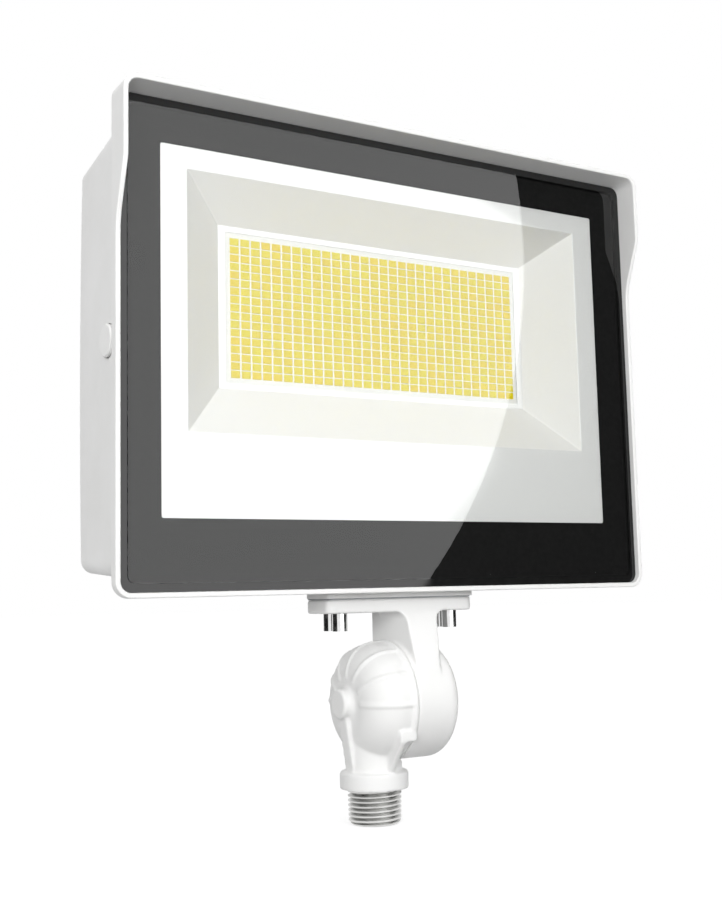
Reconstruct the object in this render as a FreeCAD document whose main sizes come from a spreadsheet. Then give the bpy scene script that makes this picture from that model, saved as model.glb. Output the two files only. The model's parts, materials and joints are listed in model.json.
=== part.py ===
"""Flood light with a hooded front frame, a finned housing and a tilting knuckle on a pipe thread.

The frame of the part: +Z up, the light shines towards -Y, +X is to the right seen from in front.
The origin is on the axis of the pipe thread, at the underside of the collar.
Every length is in millimetres and every angle in degrees.
"""
import FreeCAD, Part
import os
import re
import Sketcher

SIZES = {
    # Threaded nipple and collar.
    "thread_radius": 10.67,
    "thread_length": 13.5,
    "thread_pitch": 1.814,
    "thread_depth": 1.2,
    "thread_taper": 1.79,
    "thread_bevel": 1.2,
    "nipple_bore": 7.9,
    "shank_radius": 9.2,
    "shank_length": 9.5,
    "collar_radius": 13.5,
    "collar_height": 6.6,
    "collar_round": 0.8,
    "collar_relief": 0.6,
    "relief_gap": 0.3,
    "neck_radius": 11.1,
    # Tilt knuckle.
    "joint_offset": 6.7,
    "pivot_height": 33.1,
    "knuckle_radius": 23.0,
    "knuckle_wall": 4.5,
    "dome_length": 18.5,
    "dome_round": 13.0,
    "dome_floor": 7.5,
    "boss_radius": 5.8,
    "boss_reach": 4.2,
    "boss_floor": 3.0,
    "boss_round": 0.8,
    "boss_fillet": 2.0,
    "hub_radius": 10.0,
    "joint_lip_rise": 1.0,
    "joint_lip_width": 2.0,
    "rib_count": 7,
    "rib_width": 1.2,
    "rib_rise": 0.6,
    "rib_root": 1.5,
    "gusset_width": 6.0,
    "ledge_drop": 9.8,
    "ledge_height": 4.2,
    "ledge_length": 7.4,
    "ledge_proud": 0.9,
    "brace_thickness": 2.6,
    "brace_proud": 0.8,
    "neck_wire_hole": 5.5,
    "drum_length": 21.0,
    "drum_round": 5.0,
    "drum_floor": 7.0,
    "joint_gap": 0.3,
    "face_gap": 0.1,
    "sweep_gap": 0.4,
    "seal_groove": 0.8,
    "seal_ring_radius": 20.7,
    "seal_ring_width": 2.2,
    "friction_recess": 0.9,
    "bolt_radius": 4.0,
    "bolt_head_radius": 6.5,
    "bolt_head_height": 5.0,
    "bolt_socket_radius": 3.0,
    "bolt_socket_depth": 3.0,
    "bolt_tip_gap": 0.5,
    "washer_thickness": 1.2,
    "washer_radius": 7.2,
    "counterbore_radius": 7.5,
    "counterbore_depth": 6.5,
    # Stem, mount plate and its screws.
    "stem_inset": 2.1,
    "stem_width": 16.0,
    "stem_taper": 7.5,
    "stem_rear": 13.6,
    "stem_height": 35.0,
    "stem_fillet": 4.0,
    "stem_wire_hole": 4.5,
    "plate_width": 67.7,
    "plate_shift": 0.95,
    "plate_depth": 18.4,
    "plate_thickness": 5.3,
    "plate_round": 3.0,
    "pad_inset": 0.1,
    "plate_seal": 0.5,
    "plate_seal_inset": 0.9,
    "plate_screw_spread": 51.3,
    "plate_screw_rows": 7.1,
    "plate_screw_radius": 2.0,
    "plate_screw_head_radius": 3.0,
    "plate_screw_head_height": 6.8,
    "plate_screw_grip": 9.0,
    "plate_screw_hole_gap": 0.3,
    "pad_lip": 0.6,
    "pad_drop": 1.8,
    # Fits used in more than one place.
    "fit_gap": 0.05,
    "tip_gap": 1.0,
    # Front frame, glass and seals.
    "frame_width": 240.0,
    "frame_height": 183.3,
    "frame_wall": 1.9,
    "frame_round": 6.0,
    "opening_round": 4.0,
    "visor_roof": 3.2,
    "visor_reach": 8.0,
    "visor_drop": 30.1,
    "visor_slant_drop": 21.0,
    "visor_blend": 30.0,
    "rim_rise": 2.0,
    "flange_web": 1.8,
    "flange_overhang": 2.4,
    "glass_forward": 19.8,
    "glass_thickness": 3.0,
    "glass_round": 3.0,
    "glass_gap": 0.3,
    "print_thickness": 0.1,
    "print_inset": 0.2,
    "bed_thickness": 0.4,
    "bed_width": 3.6,
    "ledge_thickness": 2.4,
    "seal_width": 3.1,
    "seal_depth": 1.0,
    "seal_sink": 0.3,
    "seal_slack": 0.1,
    # Window, reflector tray and light source.
    "border_side": 13.1,
    "border_top": 12.8,
    "border_bottom": 22.8,
    "tray_lap": 0.9,
    "tray_gap": 0.1,
    "tray_clear": 0.5,
    "tray_sheet": 0.8,
    "panel_side": 10.4,
    "panel_top": 8.2,
    "panel_bottom": 31.0,
    "recess_depth": 14.8,
    "recess_side": 18.85,
    "recess_top": 14.4,
    "recess_bottom": 19.3,
    "source_margin": 2.2,
    "source_edge_side": 5.1,
    "source_edge_up": 4.4,
    "led_pitch_across": 4.52,
    "led_pitch_up": 3.24,
    "led_width": 3.5,
    "led_height": 2.8,
    "led_thickness": 0.7,
    "board_thickness": 1.6,
    "board_side_lap": 11.0,
    "board_top_lap": 3.0,
    "board_tail": 12.0,
    "board_screw_inset": 3.6,
    "board_screw_radius": 1.5,
    "board_screw_head_radius": 2.7,
    "board_screw_head_height": 1.6,
    "board_screw_length": 5.0,
    "thermal_pad_thickness": 0.5,
    "connector_width": 9.0,
    "connector_height": 5.0,
    "connector_thickness": 4.0,
    "connector_edge": 0.8,
    "lead_radius": 0.9,
    "lead_spread": 3.6,
    "lead_edge": 4.0,
    # Rear housing.
    "housing_seal": 0.8,
    "housing_depth": 46.5,
    "housing_wall": 3.5,
    "housing_draft": 3.5,
    "housing_round": 5.0,
    "housing_rise": 7.0,
    "housing_drop": 13.4,
    "housing_crown": 3.0,
    "spreader_wall": 5.0,
    "bay_inset": 3.5,
    "bay_wall": 4.0,
    "bay_lap": 2.8,
    "bay_roof": 4.0,
    "fin_side_wall": 10.0,
    "slot_pitch": 9.4,
    "slot_width": 6.4,
    "frame_screw_radius": 1.5,
    "frame_screw_head_radius": 3.0,
    "frame_screw_head_height": 1.6,
    "frame_screw_length": 12.0,
    "frame_socket_radius": 1.2,
    "frame_socket_depth": 1.2,
    "frame_screw_hole_gap": 0.2,
    "frame_screw_inset": 12.0,
    "frame_screw_edge": 3.9,
    "frame_post_radius": 4.2,
    # Driver bay and entries.
    "driver_width": 110.0,
    "driver_height": 36.0,
    "driver_lift": 1.4,
    "driver_foot_reach": 12.0,
    "driver_foot_thickness": 2.0,
    "driver_screw_radius": 1.5,
    "driver_screw_head_radius": 2.8,
    "driver_screw_head_height": 2.0,
    "driver_screw_grip": 2.6,
    "ground_screw_inset": 25.6,
    "ground_screw_radius": 2.0,
    "ground_screw_head_radius": 3.8,
    "ground_screw_head_height": 2.6,
    "ground_screw_grip": 6.0,
    "ground_post_radius": 5.0,
    "ground_post_height": 5.0,
    "grommet_bore": 3.6,
    "grommet_radius": 5.0,
    "grommet_flange_radius": 6.4,
    "grommet_flange_thickness": 2.0,
    "grommet_length": 8.0,
    "wire_setback": 7.6,
    "plug_setback": 6.5,
    "plug_radius": 6.0,
    "plug_show": 1.2,
    "plug_sink": 1.4,
    "plug_seat_gap": 0.3,
    "plug_shank_radius": 3.9,
    "plug_seal_thickness": 0.6,
    "plug_seal_inset": 0.5,
}

# Places and sizes that follow from the driving dimensions.
# Heights and depths are measured from the centre of the knuckle.
FORMULAS = {
    "collar_bottom": "-pivot_height",
    "collar_top": "collar_height - pivot_height",
    "thread_tip_radius": "thread_radius - thread_length * tan(thread_taper)",
    "cavity_radius": "knuckle_radius - knuckle_wall",
    "dome_cavity": "dome_length - dome_floor",
    "boss_face": "dome_length + boss_reach",
    "bolt_hole_depth": "boss_face - boss_floor",
    "lip_radius": "knuckle_radius + joint_lip_rise",
    "ledge_bottom": "-(ledge_drop + ledge_height)",
    "ledge_side": "sqrt(knuckle_radius * knuckle_radius - ledge_drop * ledge_drop) + ledge_proud",
    "brace_foot": "neck_radius + brace_proud",
    "drum_cavity_end": "drum_length - drum_floor",
    "counterbore_face": "drum_length - counterbore_depth",
    "bolt_seat": "counterbore_face + face_gap + washer_thickness",
    "stem_front": "-plate_front",
    "stem_lean": "atan(stem_front / stem_height)"
                 " + acos(knuckle_radius / sqrt(stem_front * stem_front + stem_height * stem_height))",
    "stem_right": "stem_inset + stem_width",
    "stem_middle": "stem_inset + stem_width / 2 - stem_taper / 4",
    "plate_top": "stem_height + plate_thickness",
    "stem_shoulder": "stem_right - stem_taper * plate_thickness / plate_top",
    "plate_left": "plate_shift - plate_width / 2",
    "plate_right": "plate_shift + plate_width / 2",
    "plate_front": "housing_front + pad_inset + pad_lip",
    "plate_middle": "plate_front + plate_depth / 2",
    "pad_bottom": "plate_top + plate_seal",
    "frame_bottom": "pad_bottom + pad_drop",
    "frame_top": "frame_bottom + frame_height",
    "glass_front": "-glass_forward",
    "glass_back": "glass_front + glass_thickness",
    "print_back": "glass_back + print_thickness",
    "ledge_front": "print_back + bed_thickness",
    "ledge_back": "ledge_front + ledge_thickness",
    "rim_front": "glass_front - rim_rise",
    "visor_front": "rim_front - visor_reach",
    "visor_corner": "frame_top - visor_drop",
    "visor_slant_end": "visor_corner - visor_slant_drop",
    "seal_seat": "glass_front + seal_depth",
    "flange_back": "seal_seat + flange_web",
    "opening_side": "frame_width / 2 - frame_wall",
    "opening_bottom": "frame_bottom + frame_wall",
    "opening_top": "frame_top - visor_roof",
    "opening_mouth_top": "frame_top - frame_wall",
    "glass_side": "opening_side - seal_width",
    "glass_bottom": "opening_bottom + seal_width",
    "glass_top": "opening_top - seal_width",
    "shoulder_side": "frame_width / 2 - flange_overhang",
    "window_side": "glass_side - border_side",
    "window_bottom": "glass_bottom + border_bottom",
    "window_top": "glass_top - border_top",
    "tray_side": "window_side + tray_lap",
    "tray_bottom": "window_bottom - tray_lap",
    "tray_top": "window_top + tray_lap",
    "tray_front": "print_back + tray_gap",
    "mouth_side": "window_side - panel_side",
    "mouth_bottom": "window_bottom + panel_bottom",
    "mouth_top": "window_top - panel_top",
    "floor_side": "mouth_side - recess_side",
    "floor_bottom": "mouth_bottom + recess_bottom",
    "floor_top": "mouth_top - recess_top",
    "floor_front": "tray_front + recess_depth",
    "floor_back": "floor_front + tray_sheet",
    "source_middle": "(floor_bottom + floor_top) / 2",
    "led_columns": "floor((2 * (floor_side - source_edge_side) - led_width) / led_pitch_across) + 1",
    "led_rows": "floor((floor_top - floor_bottom - 2 * source_edge_up - led_height) / led_pitch_up) + 1",
    "source_side": "(led_columns - 1) * led_pitch_across / 2 + led_width / 2",
    "source_half_height": "(led_rows - 1) * led_pitch_up / 2 + led_height / 2",
    "board_side": "floor_side + board_side_lap",
    "board_bottom": "floor_bottom - board_tail",
    "board_top": "floor_top + board_top_lap",
    "board_back": "floor_back + board_thickness",
    "board_screw_across": "board_side - board_screw_inset",
    "spreader_front": "board_back + thermal_pad_thickness",
    "housing_front": "ledge_back + housing_seal",
    "housing_back": "housing_front + housing_depth",
    "housing_bottom": "frame_bottom + housing_rise",
    "housing_top": "frame_top - housing_drop",
    "housing_inside": "shoulder_side - housing_wall",
    "housing_floor": "housing_bottom + housing_wall",
    "housing_ceiling": "housing_top - housing_wall",
    "bay_bottom": "housing_floor + bay_inset",
    "bay_top": "mouth_bottom - bay_lap",
    "bay_back": "housing_back - housing_crown - bay_wall",
    "fin_root": "spreader_front + spreader_wall",
    "fin_bottom": "bay_top + bay_roof",
    "slots_each_side": "floor((shoulder_side - fin_side_wall - slot_width / 2) / slot_pitch)",
    "slot_count": "2 * slots_each_side + 1",
    "frame_screw_across": "tray_side + tray_clear + frame_screw_edge",
    "frame_screw_low": "housing_bottom + frame_screw_inset",
    "frame_screw_high": "housing_top - frame_screw_inset",
    "frame_screw_mid": "(frame_screw_low + frame_screw_high) / 2",
    "driver_bottom": "bay_bottom + driver_lift",
    "driver_top": "driver_bottom + driver_height",
    "driver_front": "lead_depth - lead_edge",
    "driver_middle": "driver_bottom + driver_height / 2",
    "driver_foot_side": "driver_width / 2 + driver_foot_reach",
    "driver_screw_side": "driver_width / 2 + driver_foot_reach / 2",
    "ground_screw_side": "housing_inside - bay_inset - ground_screw_inset",
    "connector_bottom": "board_bottom + connector_edge",
    "lead_depth": "floor_back - connector_thickness / 2",
    "wire_depth": "housing_front + wire_setback",
    "plug_depth": "housing_front + plug_setback",
    "plug_height": "frame_bottom + frame_height / 2",
    "plug_seat": "shoulder_side - plug_sink",
    "plug_shank_length": "plug_seat + plug_seal_thickness - frame_screw_across - frame_post_radius - tip_gap",
}

UP = FreeCAD.Vector(0, 0, 1)
TURNS = {
    "X": FreeCAD.Rotation(UP, FreeCAD.Vector(1, 0, 0)),
    "Y": FreeCAD.Rotation(UP, FreeCAD.Vector(0, 1, 0)),
    "Z": FreeCAD.Rotation(),
}
TOLERANCE = 0.001

doc = FreeCAD.newDocument("FloodLight")
sheet = doc.addObject("Spreadsheet::Sheet", "Size")
for row, (alias, number) in enumerate(SIZES.items(), start=1):
    cell = "A%d" % row
    sheet.set(cell, str(number))
    sheet.setAlias(cell, alias)
doc.recompute()

sub_parts = []


def formula(text):
    """Expand the named formulas in text and point its sizes at the sheet."""
    def expand(match):
        word = match.group(0)
        if word in FORMULAS:
            return "(" + formula(FORMULAS[word]) + ")"
        if word in SIZES:
            return "Size." + word
        return word
    return re.sub(r"[a-z][a-z_]*", expand, text)


def value(text):
    """Work out a formula as a plain number."""
    result = sheet.evalExpression(formula(text))
    return float(getattr(result, "Value", result))


def bind(item, **properties):
    """Bind properties of a document object to formulas."""
    for name, text in properties.items():
        item.setExpression(name, formula(text))


def place(item, x, y, z, axis="Z"):
    """Bind an object's position, with its own Z turned onto the given axis."""
    item.Placement = FreeCAD.Placement(FreeCAD.Vector(), TURNS[axis])
    for letter, text in zip("xyz", (x, y, z)):
        item.setExpression("Placement.Base." + letter, formula(text))


def new_body(label, at_pivot=True):
    """Start a sub-part; its own origin is the centre of the knuckle, or the part's origin."""
    body = doc.addObject("PartDesign::Body", label)
    body.Label = label
    if at_pivot:
        place(body, "joint_offset", "0", "pivot_height")
    sub_parts.append(body)
    return body


def role(body, name):
    """Find an axis or plane of a body's origin."""
    return next(item for item in body.Origin.OriginFeatures if item.Role == name)


def block(body, low, high, cut=False):
    """Add or cut a box between two corners."""
    kind = "PartDesign::SubtractiveBox" if cut else "PartDesign::AdditiveBox"
    item = body.newObject(kind, "Block")
    place(item, *low)
    for name, start, end in zip(("Length", "Width", "Height"), low, high):
        bind(item, **{name: "(%s) - (%s)" % (end, start)})
    doc.recompute()
    return item


def rod(body, axis, start, length, radius, cut=False):
    """Add or cut a round bar that runs from a point along an axis."""
    kind = "PartDesign::SubtractiveCylinder" if cut else "PartDesign::AdditiveCylinder"
    item = body.newObject(kind, "Rod")
    place(item, *start, axis=axis)
    bind(item, Radius=radius, Height=length)
    doc.recompute()
    return item


def cone(body, axis, start, length, near_radius, far_radius, cut=False):
    """Add or cut a cone frustum that runs from a point along an axis."""
    kind = "PartDesign::SubtractiveCone" if cut else "PartDesign::AdditiveCone"
    item = body.newObject(kind, "Cone")
    place(item, *start, axis=axis)
    bind(item, Radius1=near_radius, Radius2=far_radius, Height=length)
    doc.recompute()
    return item


def hexagon(body, axis, start, length, radius):
    """Cut a hexagon socket that runs from a point along an axis."""
    item = body.newObject("PartDesign::SubtractivePrism", "Socket")
    item.Polygon = 6
    place(item, *start, axis=axis)
    bind(item, Circumradius=radius, Height=length)
    doc.recompute()
    return item


def new_sketch(body, plane, offset):
    """Start a sketch on one of the body's planes, moved along the plane's normal."""
    sketch = body.newObject("Sketcher::SketchObject", "Sketch")
    sketch.AttachmentSupport = (role(body, plane), [""])
    sketch.MapMode = "FlatFace"
    sketch.setExpression("AttachmentOffset.Base.z", formula(offset))
    return sketch


def pin_point(sketch, geometry, end, across, up):
    """Bind one end of a sketch line to coordinates."""
    for kind, text in (("DistanceX", across), ("DistanceY", up)):
        number = value(text)
        if abs(number) < TOLERANCE:
            axis_line = -2 if kind == "DistanceX" else -1
            sketch.addConstraint(Sketcher.Constraint("PointOnObject", geometry, end, axis_line))
        else:
            index = sketch.addConstraint(Sketcher.Constraint(kind, -1, 1, geometry, end, number))
            sketch.setExpression("Constraints[%d]" % index, formula(text))


def polygon(body, plane, offset, points):
    """Sketch a closed outline through points given as pairs of formulas."""
    sketch = new_sketch(body, plane, offset)
    corners = [FreeCAD.Vector(value(across), value(up), 0) for across, up in points]
    count = len(corners)
    for index in range(count):
        sketch.addGeometry(Part.LineSegment(corners[index], corners[(index + 1) % count]))
    for index in range(count):
        sketch.addConstraint(Sketcher.Constraint("Coincident", index, 2, (index + 1) % count, 1))
    for index, (across, up) in enumerate(points):
        pin_point(sketch, index, 1, across, up)
    doc.recompute()
    return sketch


def rectangle(body, plane, offset, left, bottom, right, top):
    """Sketch an upright rectangle."""
    return polygon(body, plane, offset, ((left, bottom), (right, bottom), (right, top), (left, top)))


def circles(body, plane, offset, centre, radii):
    """Sketch one circle, or two for a ring, about a centre."""
    sketch = new_sketch(body, plane, offset)
    middle = FreeCAD.Vector(value(centre[0]), value(centre[1]), 0)
    for radius in radii:
        index = sketch.addGeometry(Part.Circle(middle, UP, value(radius)))
        pin_point(sketch, index, 3, *centre)
        limit = sketch.addConstraint(Sketcher.Constraint("Radius", index, value(radius)))
        sketch.setExpression("Constraints[%d]" % limit, formula(radius))
    doc.recompute()
    return sketch


def extrude(body, kind, sketch, length, reverse=False, both_ways=False):
    """Pad or pocket a sketch by a length."""
    item = body.newObject("PartDesign::" + kind, kind)
    item.Profile = sketch
    bind(item, Length=length)
    item.Reversed = reverse
    if both_ways:
        item.SideType = "Symmetric"
    doc.recompute()
    return item


def loft(body, kind, sections):
    """Add or cut the solid between two sketches."""
    item = body.newObject("PartDesign::" + kind, kind)
    item.Profile = sections[0]
    item.Sections = sections[1:]
    item.Ruled = True
    doc.recompute()
    return item


def dress(body, kind, choose, **properties):
    """Fillet or chamfer the edges of a body that a test picks."""
    base = body.Tip
    names = ["Edge%d" % number for number, edge in enumerate(base.Shape.Edges, start=1) if choose(edge)]
    item = body.newObject("PartDesign::" + kind, kind)
    item.Base = (base, names)
    bind(item, **properties)
    doc.recompute()
    return item


def is_straight(edge, axis):
    """Tell whether an edge is a straight line along an axis."""
    if edge.Curve.TypeId != "Part::GeomLine":
        return False
    return abs(getattr(edge.Curve.Direction, axis.lower())) > 1 - TOLERANCE


def upright_corner(axis, corners):
    """Make a test for straight edges along an axis that pass through given corners."""
    across, up = [letter for letter in "xyz" if letter != axis.lower()]
    places = [(value(first), value(second)) for first, second in corners]

    def choose(edge):
        if not is_straight(edge, axis):
            return False
        point = edge.Vertexes[0].Point
        return any(
            abs(getattr(point, across) - first) < TOLERANCE and abs(getattr(point, up) - second) < TOLERANCE
            for first, second in places
        )
    return choose


def round_edge(axis, position, radius):
    """Make a test for the circular edge of a given radius at a place along an axis."""
    def choose(edge):
        if edge.Curve.TypeId != "Part::GeomCircle":
            return False
        place_along = getattr(edge.Curve.Center, axis.lower())
        return abs(place_along - value(position)) < TOLERANCE and abs(edge.Curve.Radius - value(radius)) < TOLERANCE
    return choose


def outline_corners(side, bottom, top):
    """List the four corners of an outline that is centred left to right."""
    return [("-(%s)" % side, bottom), (side, bottom), (side, top), ("-(%s)" % side, top)]


def slab(body, side, bottom, top, front, back, corner=None, cut=False):
    """Add or cut an upright slab between two depths, with rounded corners if asked."""
    block(body, ("-(%s)" % side, front, bottom), (side, back, top), cut)
    if corner:
        round_corners(body, side, bottom, top, corner)


def round_corners(body, side, bottom, top, radius):
    """Round the four corners of an upright outline."""
    dress(body, "Fillet", upright_corner("Y", outline_corners(side, bottom, top)), Radius=radius)


def repeat(body, axis, length, count):
    """Repeat the whole body in a row along an axis."""
    item = body.newObject("PartDesign::LinearPattern", "Row")
    item.TransformMode = "Whole shape"
    item.Direction = (role(body, axis + "_Axis"), [""])
    bind(item, Length=length, Occurrences=count)
    body.Tip = item
    doc.recompute()
    return item


def make_nipple():
    """Tapered pipe-thread nipple with a plain shank that sits in the neck."""
    body = new_body("threaded_nipple", at_pivot=False)
    cone(body, "Z", ("0", "0", "-thread_length"), "thread_length", "thread_tip_radius", "thread_radius")
    dress(body, "Chamfer", round_edge("Z", "-thread_length", "thread_tip_radius"), Size="thread_bevel")
    rod(body, "Z", ("0", "0", "0"), "shank_length", "shank_radius")
    start = "(-thread_length - thread_pitch)"
    outer = "(thread_radius + thread_depth / 4)"
    groove = polygon(body, "XZ_Plane", "0", (
        (outer, start + " - thread_pitch * 0.48"),
        (outer, start + " + thread_pitch * 0.48"),
        ("thread_tip_radius - thread_depth", start),
    ))
    helix = body.newObject("PartDesign::SubtractiveHelix", "Thread")
    helix.Profile = groove
    helix.ReferenceAxis = (groove, ["V_Axis"])
    helix.Mode = "pitch-height-angle"
    bind(helix, Pitch="thread_pitch", Height="thread_length + thread_pitch / 2")
    doc.recompute()
    rod(body, "Z", ("0", "0", "-thread_length"), "thread_length + shank_length", "nipple_bore", cut=True)


def make_rib(body):
    """Thin raised rib that follows the outside of the dome, repeated over its upper half."""
    sketch = new_sketch(body, "XY_Plane", "0")
    start = "-joint_lip_width / 2"
    bend = "-(dome_length - dome_round)"
    ring = "knuckle_radius - dome_round"
    corners = (
        (start, "knuckle_radius + rib_rise"),
        (bend, "knuckle_radius + rib_rise"),
        ("-(dome_length + rib_rise)", ring),
        ("-(dome_length - rib_root)", ring),
        (bend, "knuckle_radius - rib_root"),
        (start, "knuckle_radius - rib_root"),
    )
    points = [FreeCAD.Vector(value(across), value(up), 0) for across, up in corners]
    centre = FreeCAD.Vector(value(bend), value(ring), 0)
    bends = {1: "dome_round + rib_rise", 3: "dome_round - rib_root"}
    for index, point in enumerate(points):
        following = points[(index + 1) % len(points)]
        if index in bends:
            radius = value(bends[index])
            halfway = centre + FreeCAD.Vector(-1, 1, 0).normalize() * radius
            sketch.addGeometry(Part.Arc(point, halfway, following))
        else:
            sketch.addGeometry(Part.LineSegment(point, following))
    # An arc keeps its ends in counter-clockwise order: the outer one runs on, the inner one runs back.
    ends = {index: (1, 2) for index in range(len(points))}
    ends[3] = (2, 1)
    for index in range(len(points)):
        following = (index + 1) % len(points)
        joined = Sketcher.Constraint("Coincident", index, ends[index][1], following, ends[following][0])
        sketch.addConstraint(joined)
    for index, (across, up) in enumerate(corners):
        pin_point(sketch, index, ends[index][0], across, up)
    for index, radius in bends.items():
        limit = sketch.addConstraint(Sketcher.Constraint("Radius", index, value(radius)))
        sketch.setExpression("Constraints[%d]" % limit, formula(radius))
    doc.recompute()
    rib = extrude(body, "Pad", sketch, "rib_width", both_ways=True)
    ring_of_ribs = body.newObject("PartDesign::PolarPattern", "Ribs")
    ring_of_ribs.Originals = [rib]
    ring_of_ribs.Axis = (role(body, "X_Axis"), [""])
    ring_of_ribs.Angle = 180
    bind(ring_of_ribs, Occurrences="rib_count")
    body.Tip = ring_of_ribs
    doc.recompute()


def make_lower_knuckle():
    """Left half of the knuckle: hollow ribbed dome, neck and collar in one casting."""
    body = new_body("lower_knuckle")
    lip = circles(body, "YZ_Plane", "0", ("0", "0"), ("lip_radius",))
    extrude(body, "Pad", lip, "joint_lip_width", reverse=True)
    block(body, ("-joint_lip_width", "-lip_radius", "-lip_radius"), ("0", "lip_radius", "ledge_bottom"), cut=True)
    disc = circles(body, "YZ_Plane", "0", ("0", "0"), ("knuckle_radius",))
    extrude(body, "Pad", disc, "dome_length", reverse=True)
    dress(body, "Fillet", round_edge("X", "-dome_length", "knuckle_radius"), Radius="dome_round")
    make_rib(body)
    rod(body, "X", ("-boss_face", "0", "0"), "boss_reach + dome_floor", "boss_radius")
    dress(body, "Fillet", round_edge("X", "-boss_face", "boss_radius"), Radius="boss_round")
    dress(body, "Fillet", round_edge("X", "-dome_length", "boss_radius"), Radius="boss_fillet")
    gusset_face = "-(boss_face - boss_reach / 2)"
    gusset = polygon(body, "XZ_Plane", "0", (
        ("-joint_offset", "collar_top"),
        ("-(joint_offset + neck_radius)", "collar_top"),
        (gusset_face, "-boss_radius - rib_root"),
        (gusset_face, "0"),
        ("-joint_offset", "0"),
    ))
    extrude(body, "Pad", gusset, "gusset_width", both_ways=True)
    block(body, ("-ledge_length", "-ledge_side", "ledge_bottom"), ("0", "ledge_side", "-ledge_drop"))
    brace = polygon(body, "YZ_Plane", "-ledge_length", (
        ("-ledge_side", "-ledge_drop"),
        ("-ledge_side", "ledge_bottom"),
        ("-brace_foot", "collar_top"),
        ("brace_foot", "collar_top"),
        ("ledge_side", "ledge_bottom"),
        ("ledge_side", "-ledge_drop"),
    ))
    extrude(body, "Pad", brace, "brace_thickness")
    neck_axis = ("-joint_offset", "0")
    rod(body, "Z", neck_axis + ("collar_top",), "pivot_height - collar_height", "neck_radius")
    rod(body, "Z", neck_axis + ("collar_bottom",), "collar_height", "collar_radius")
    dress(body, "Fillet", round_edge("Z", "collar_top", "collar_radius"), Radius="collar_round")
    rod(body, "X", ("0", "0", "0"), "drum_length", "knuckle_radius + sweep_gap", cut=True)
    rod(body, "X", ("-dome_cavity", "0", "0"), "dome_cavity", "cavity_radius", cut=True)
    rod(body, "X", ("-dome_cavity", "0", "0"), "dome_cavity - friction_recess", "hub_radius")
    rod(body, "X", ("-bolt_hole_depth", "0", "0"), "bolt_hole_depth", "bolt_radius + fit_gap", cut=True)
    groove = circles(body, "YZ_Plane", "0", ("0", "0"), (
        "seal_ring_radius - seal_ring_width / 2 - face_gap",
        "seal_ring_radius + seal_ring_width / 2 + face_gap",
    ))
    extrude(body, "Pocket", groove, "seal_groove")
    rod(body, "Z", neck_axis + ("collar_bottom",), "shank_length", "shank_radius + fit_gap", cut=True)
    rod(body, "Z", neck_axis + ("collar_bottom",), "collar_relief", "thread_radius + relief_gap", cut=True)
    hole_top = "-(cavity_radius - neck_wire_hole / 2)"
    rod(body, "Z", neck_axis + ("collar_bottom",), hole_top + " - collar_bottom", "neck_wire_hole", cut=True)


def make_upper_knuckle():
    """Right half of the knuckle: hollow drum, stem and mount plate in one casting."""
    body = new_body("upper_knuckle")
    stem = polygon(body, "YZ_Plane", "stem_inset", (
        ("-stem_front", "plate_top"),
        ("-stem_front", "stem_height"),
        ("-knuckle_radius * sin(stem_lean)", "knuckle_radius * cos(stem_lean)"),
        ("0", "0"),
        ("stem_rear", "0"),
        ("stem_rear", "plate_top"),
    ))
    extrude(body, "Pad", stem, "stem_width")
    wedge = polygon(body, "XZ_Plane", "0", (
        ("stem_right", "plate_top"),
        ("stem_right - stem_taper", "0"),
        ("stem_right + stem_taper", "0"),
    ))
    extrude(body, "Pocket", wedge, "4 * knuckle_radius", both_ways=True)
    plate_back = "plate_front + plate_depth"
    block(body, ("plate_left", "plate_front", "stem_height"), ("plate_right", plate_back, "plate_top"))
    dress(body, "Fillet", upright_corner("Z", (
        ("plate_left", "plate_front"),
        ("plate_right", "plate_front"),
        ("plate_right", plate_back),
        ("plate_left", plate_back),
    )), Radius="plate_round")
    disc = circles(body, "YZ_Plane", "joint_gap", ("0", "0"), ("knuckle_radius",))
    extrude(body, "Pad", disc, "drum_length - joint_gap")
    dress(body, "Fillet", round_edge("X", "drum_length", "knuckle_radius"), Radius="drum_round")
    dress(body, "Fillet", upright_corner("Y", (
        ("stem_inset", "stem_height"),
        ("stem_shoulder", "stem_height"),
    )), Radius="stem_fillet")
    cavity = circles(body, "YZ_Plane", "joint_gap", ("0", "0"), ("hub_radius", "cavity_radius"))
    extrude(body, "Pocket", cavity, "drum_cavity_end - joint_gap", reverse=True)
    rod(body, "X", ("0", "0", "0"), "drum_length", "bolt_radius + fit_gap", cut=True)
    rod(body, "X", ("counterbore_face", "0", "0"), "counterbore_depth", "counterbore_radius", cut=True)
    hole_start = "(hub_radius + tip_gap)"
    rod(body, "Z", ("stem_middle", "wire_depth", hole_start), "plate_top - " + hole_start,
        "stem_wire_hole", cut=True)
    for across, along in plate_screw_places():
        rod(body, "Z", (across, along, "stem_height - plate_thickness"), "2 * plate_thickness",
            "plate_screw_radius + plate_screw_hole_gap", cut=True)


def plate_screw_places():
    """List the four screw places of the mount plate."""
    return [
        (across, along)
        for across in ("plate_shift - plate_screw_spread / 2", "plate_shift + plate_screw_spread / 2")
        for along in ("plate_middle - plate_screw_rows / 2", "plate_middle + plate_screw_rows / 2")
    ]


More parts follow.
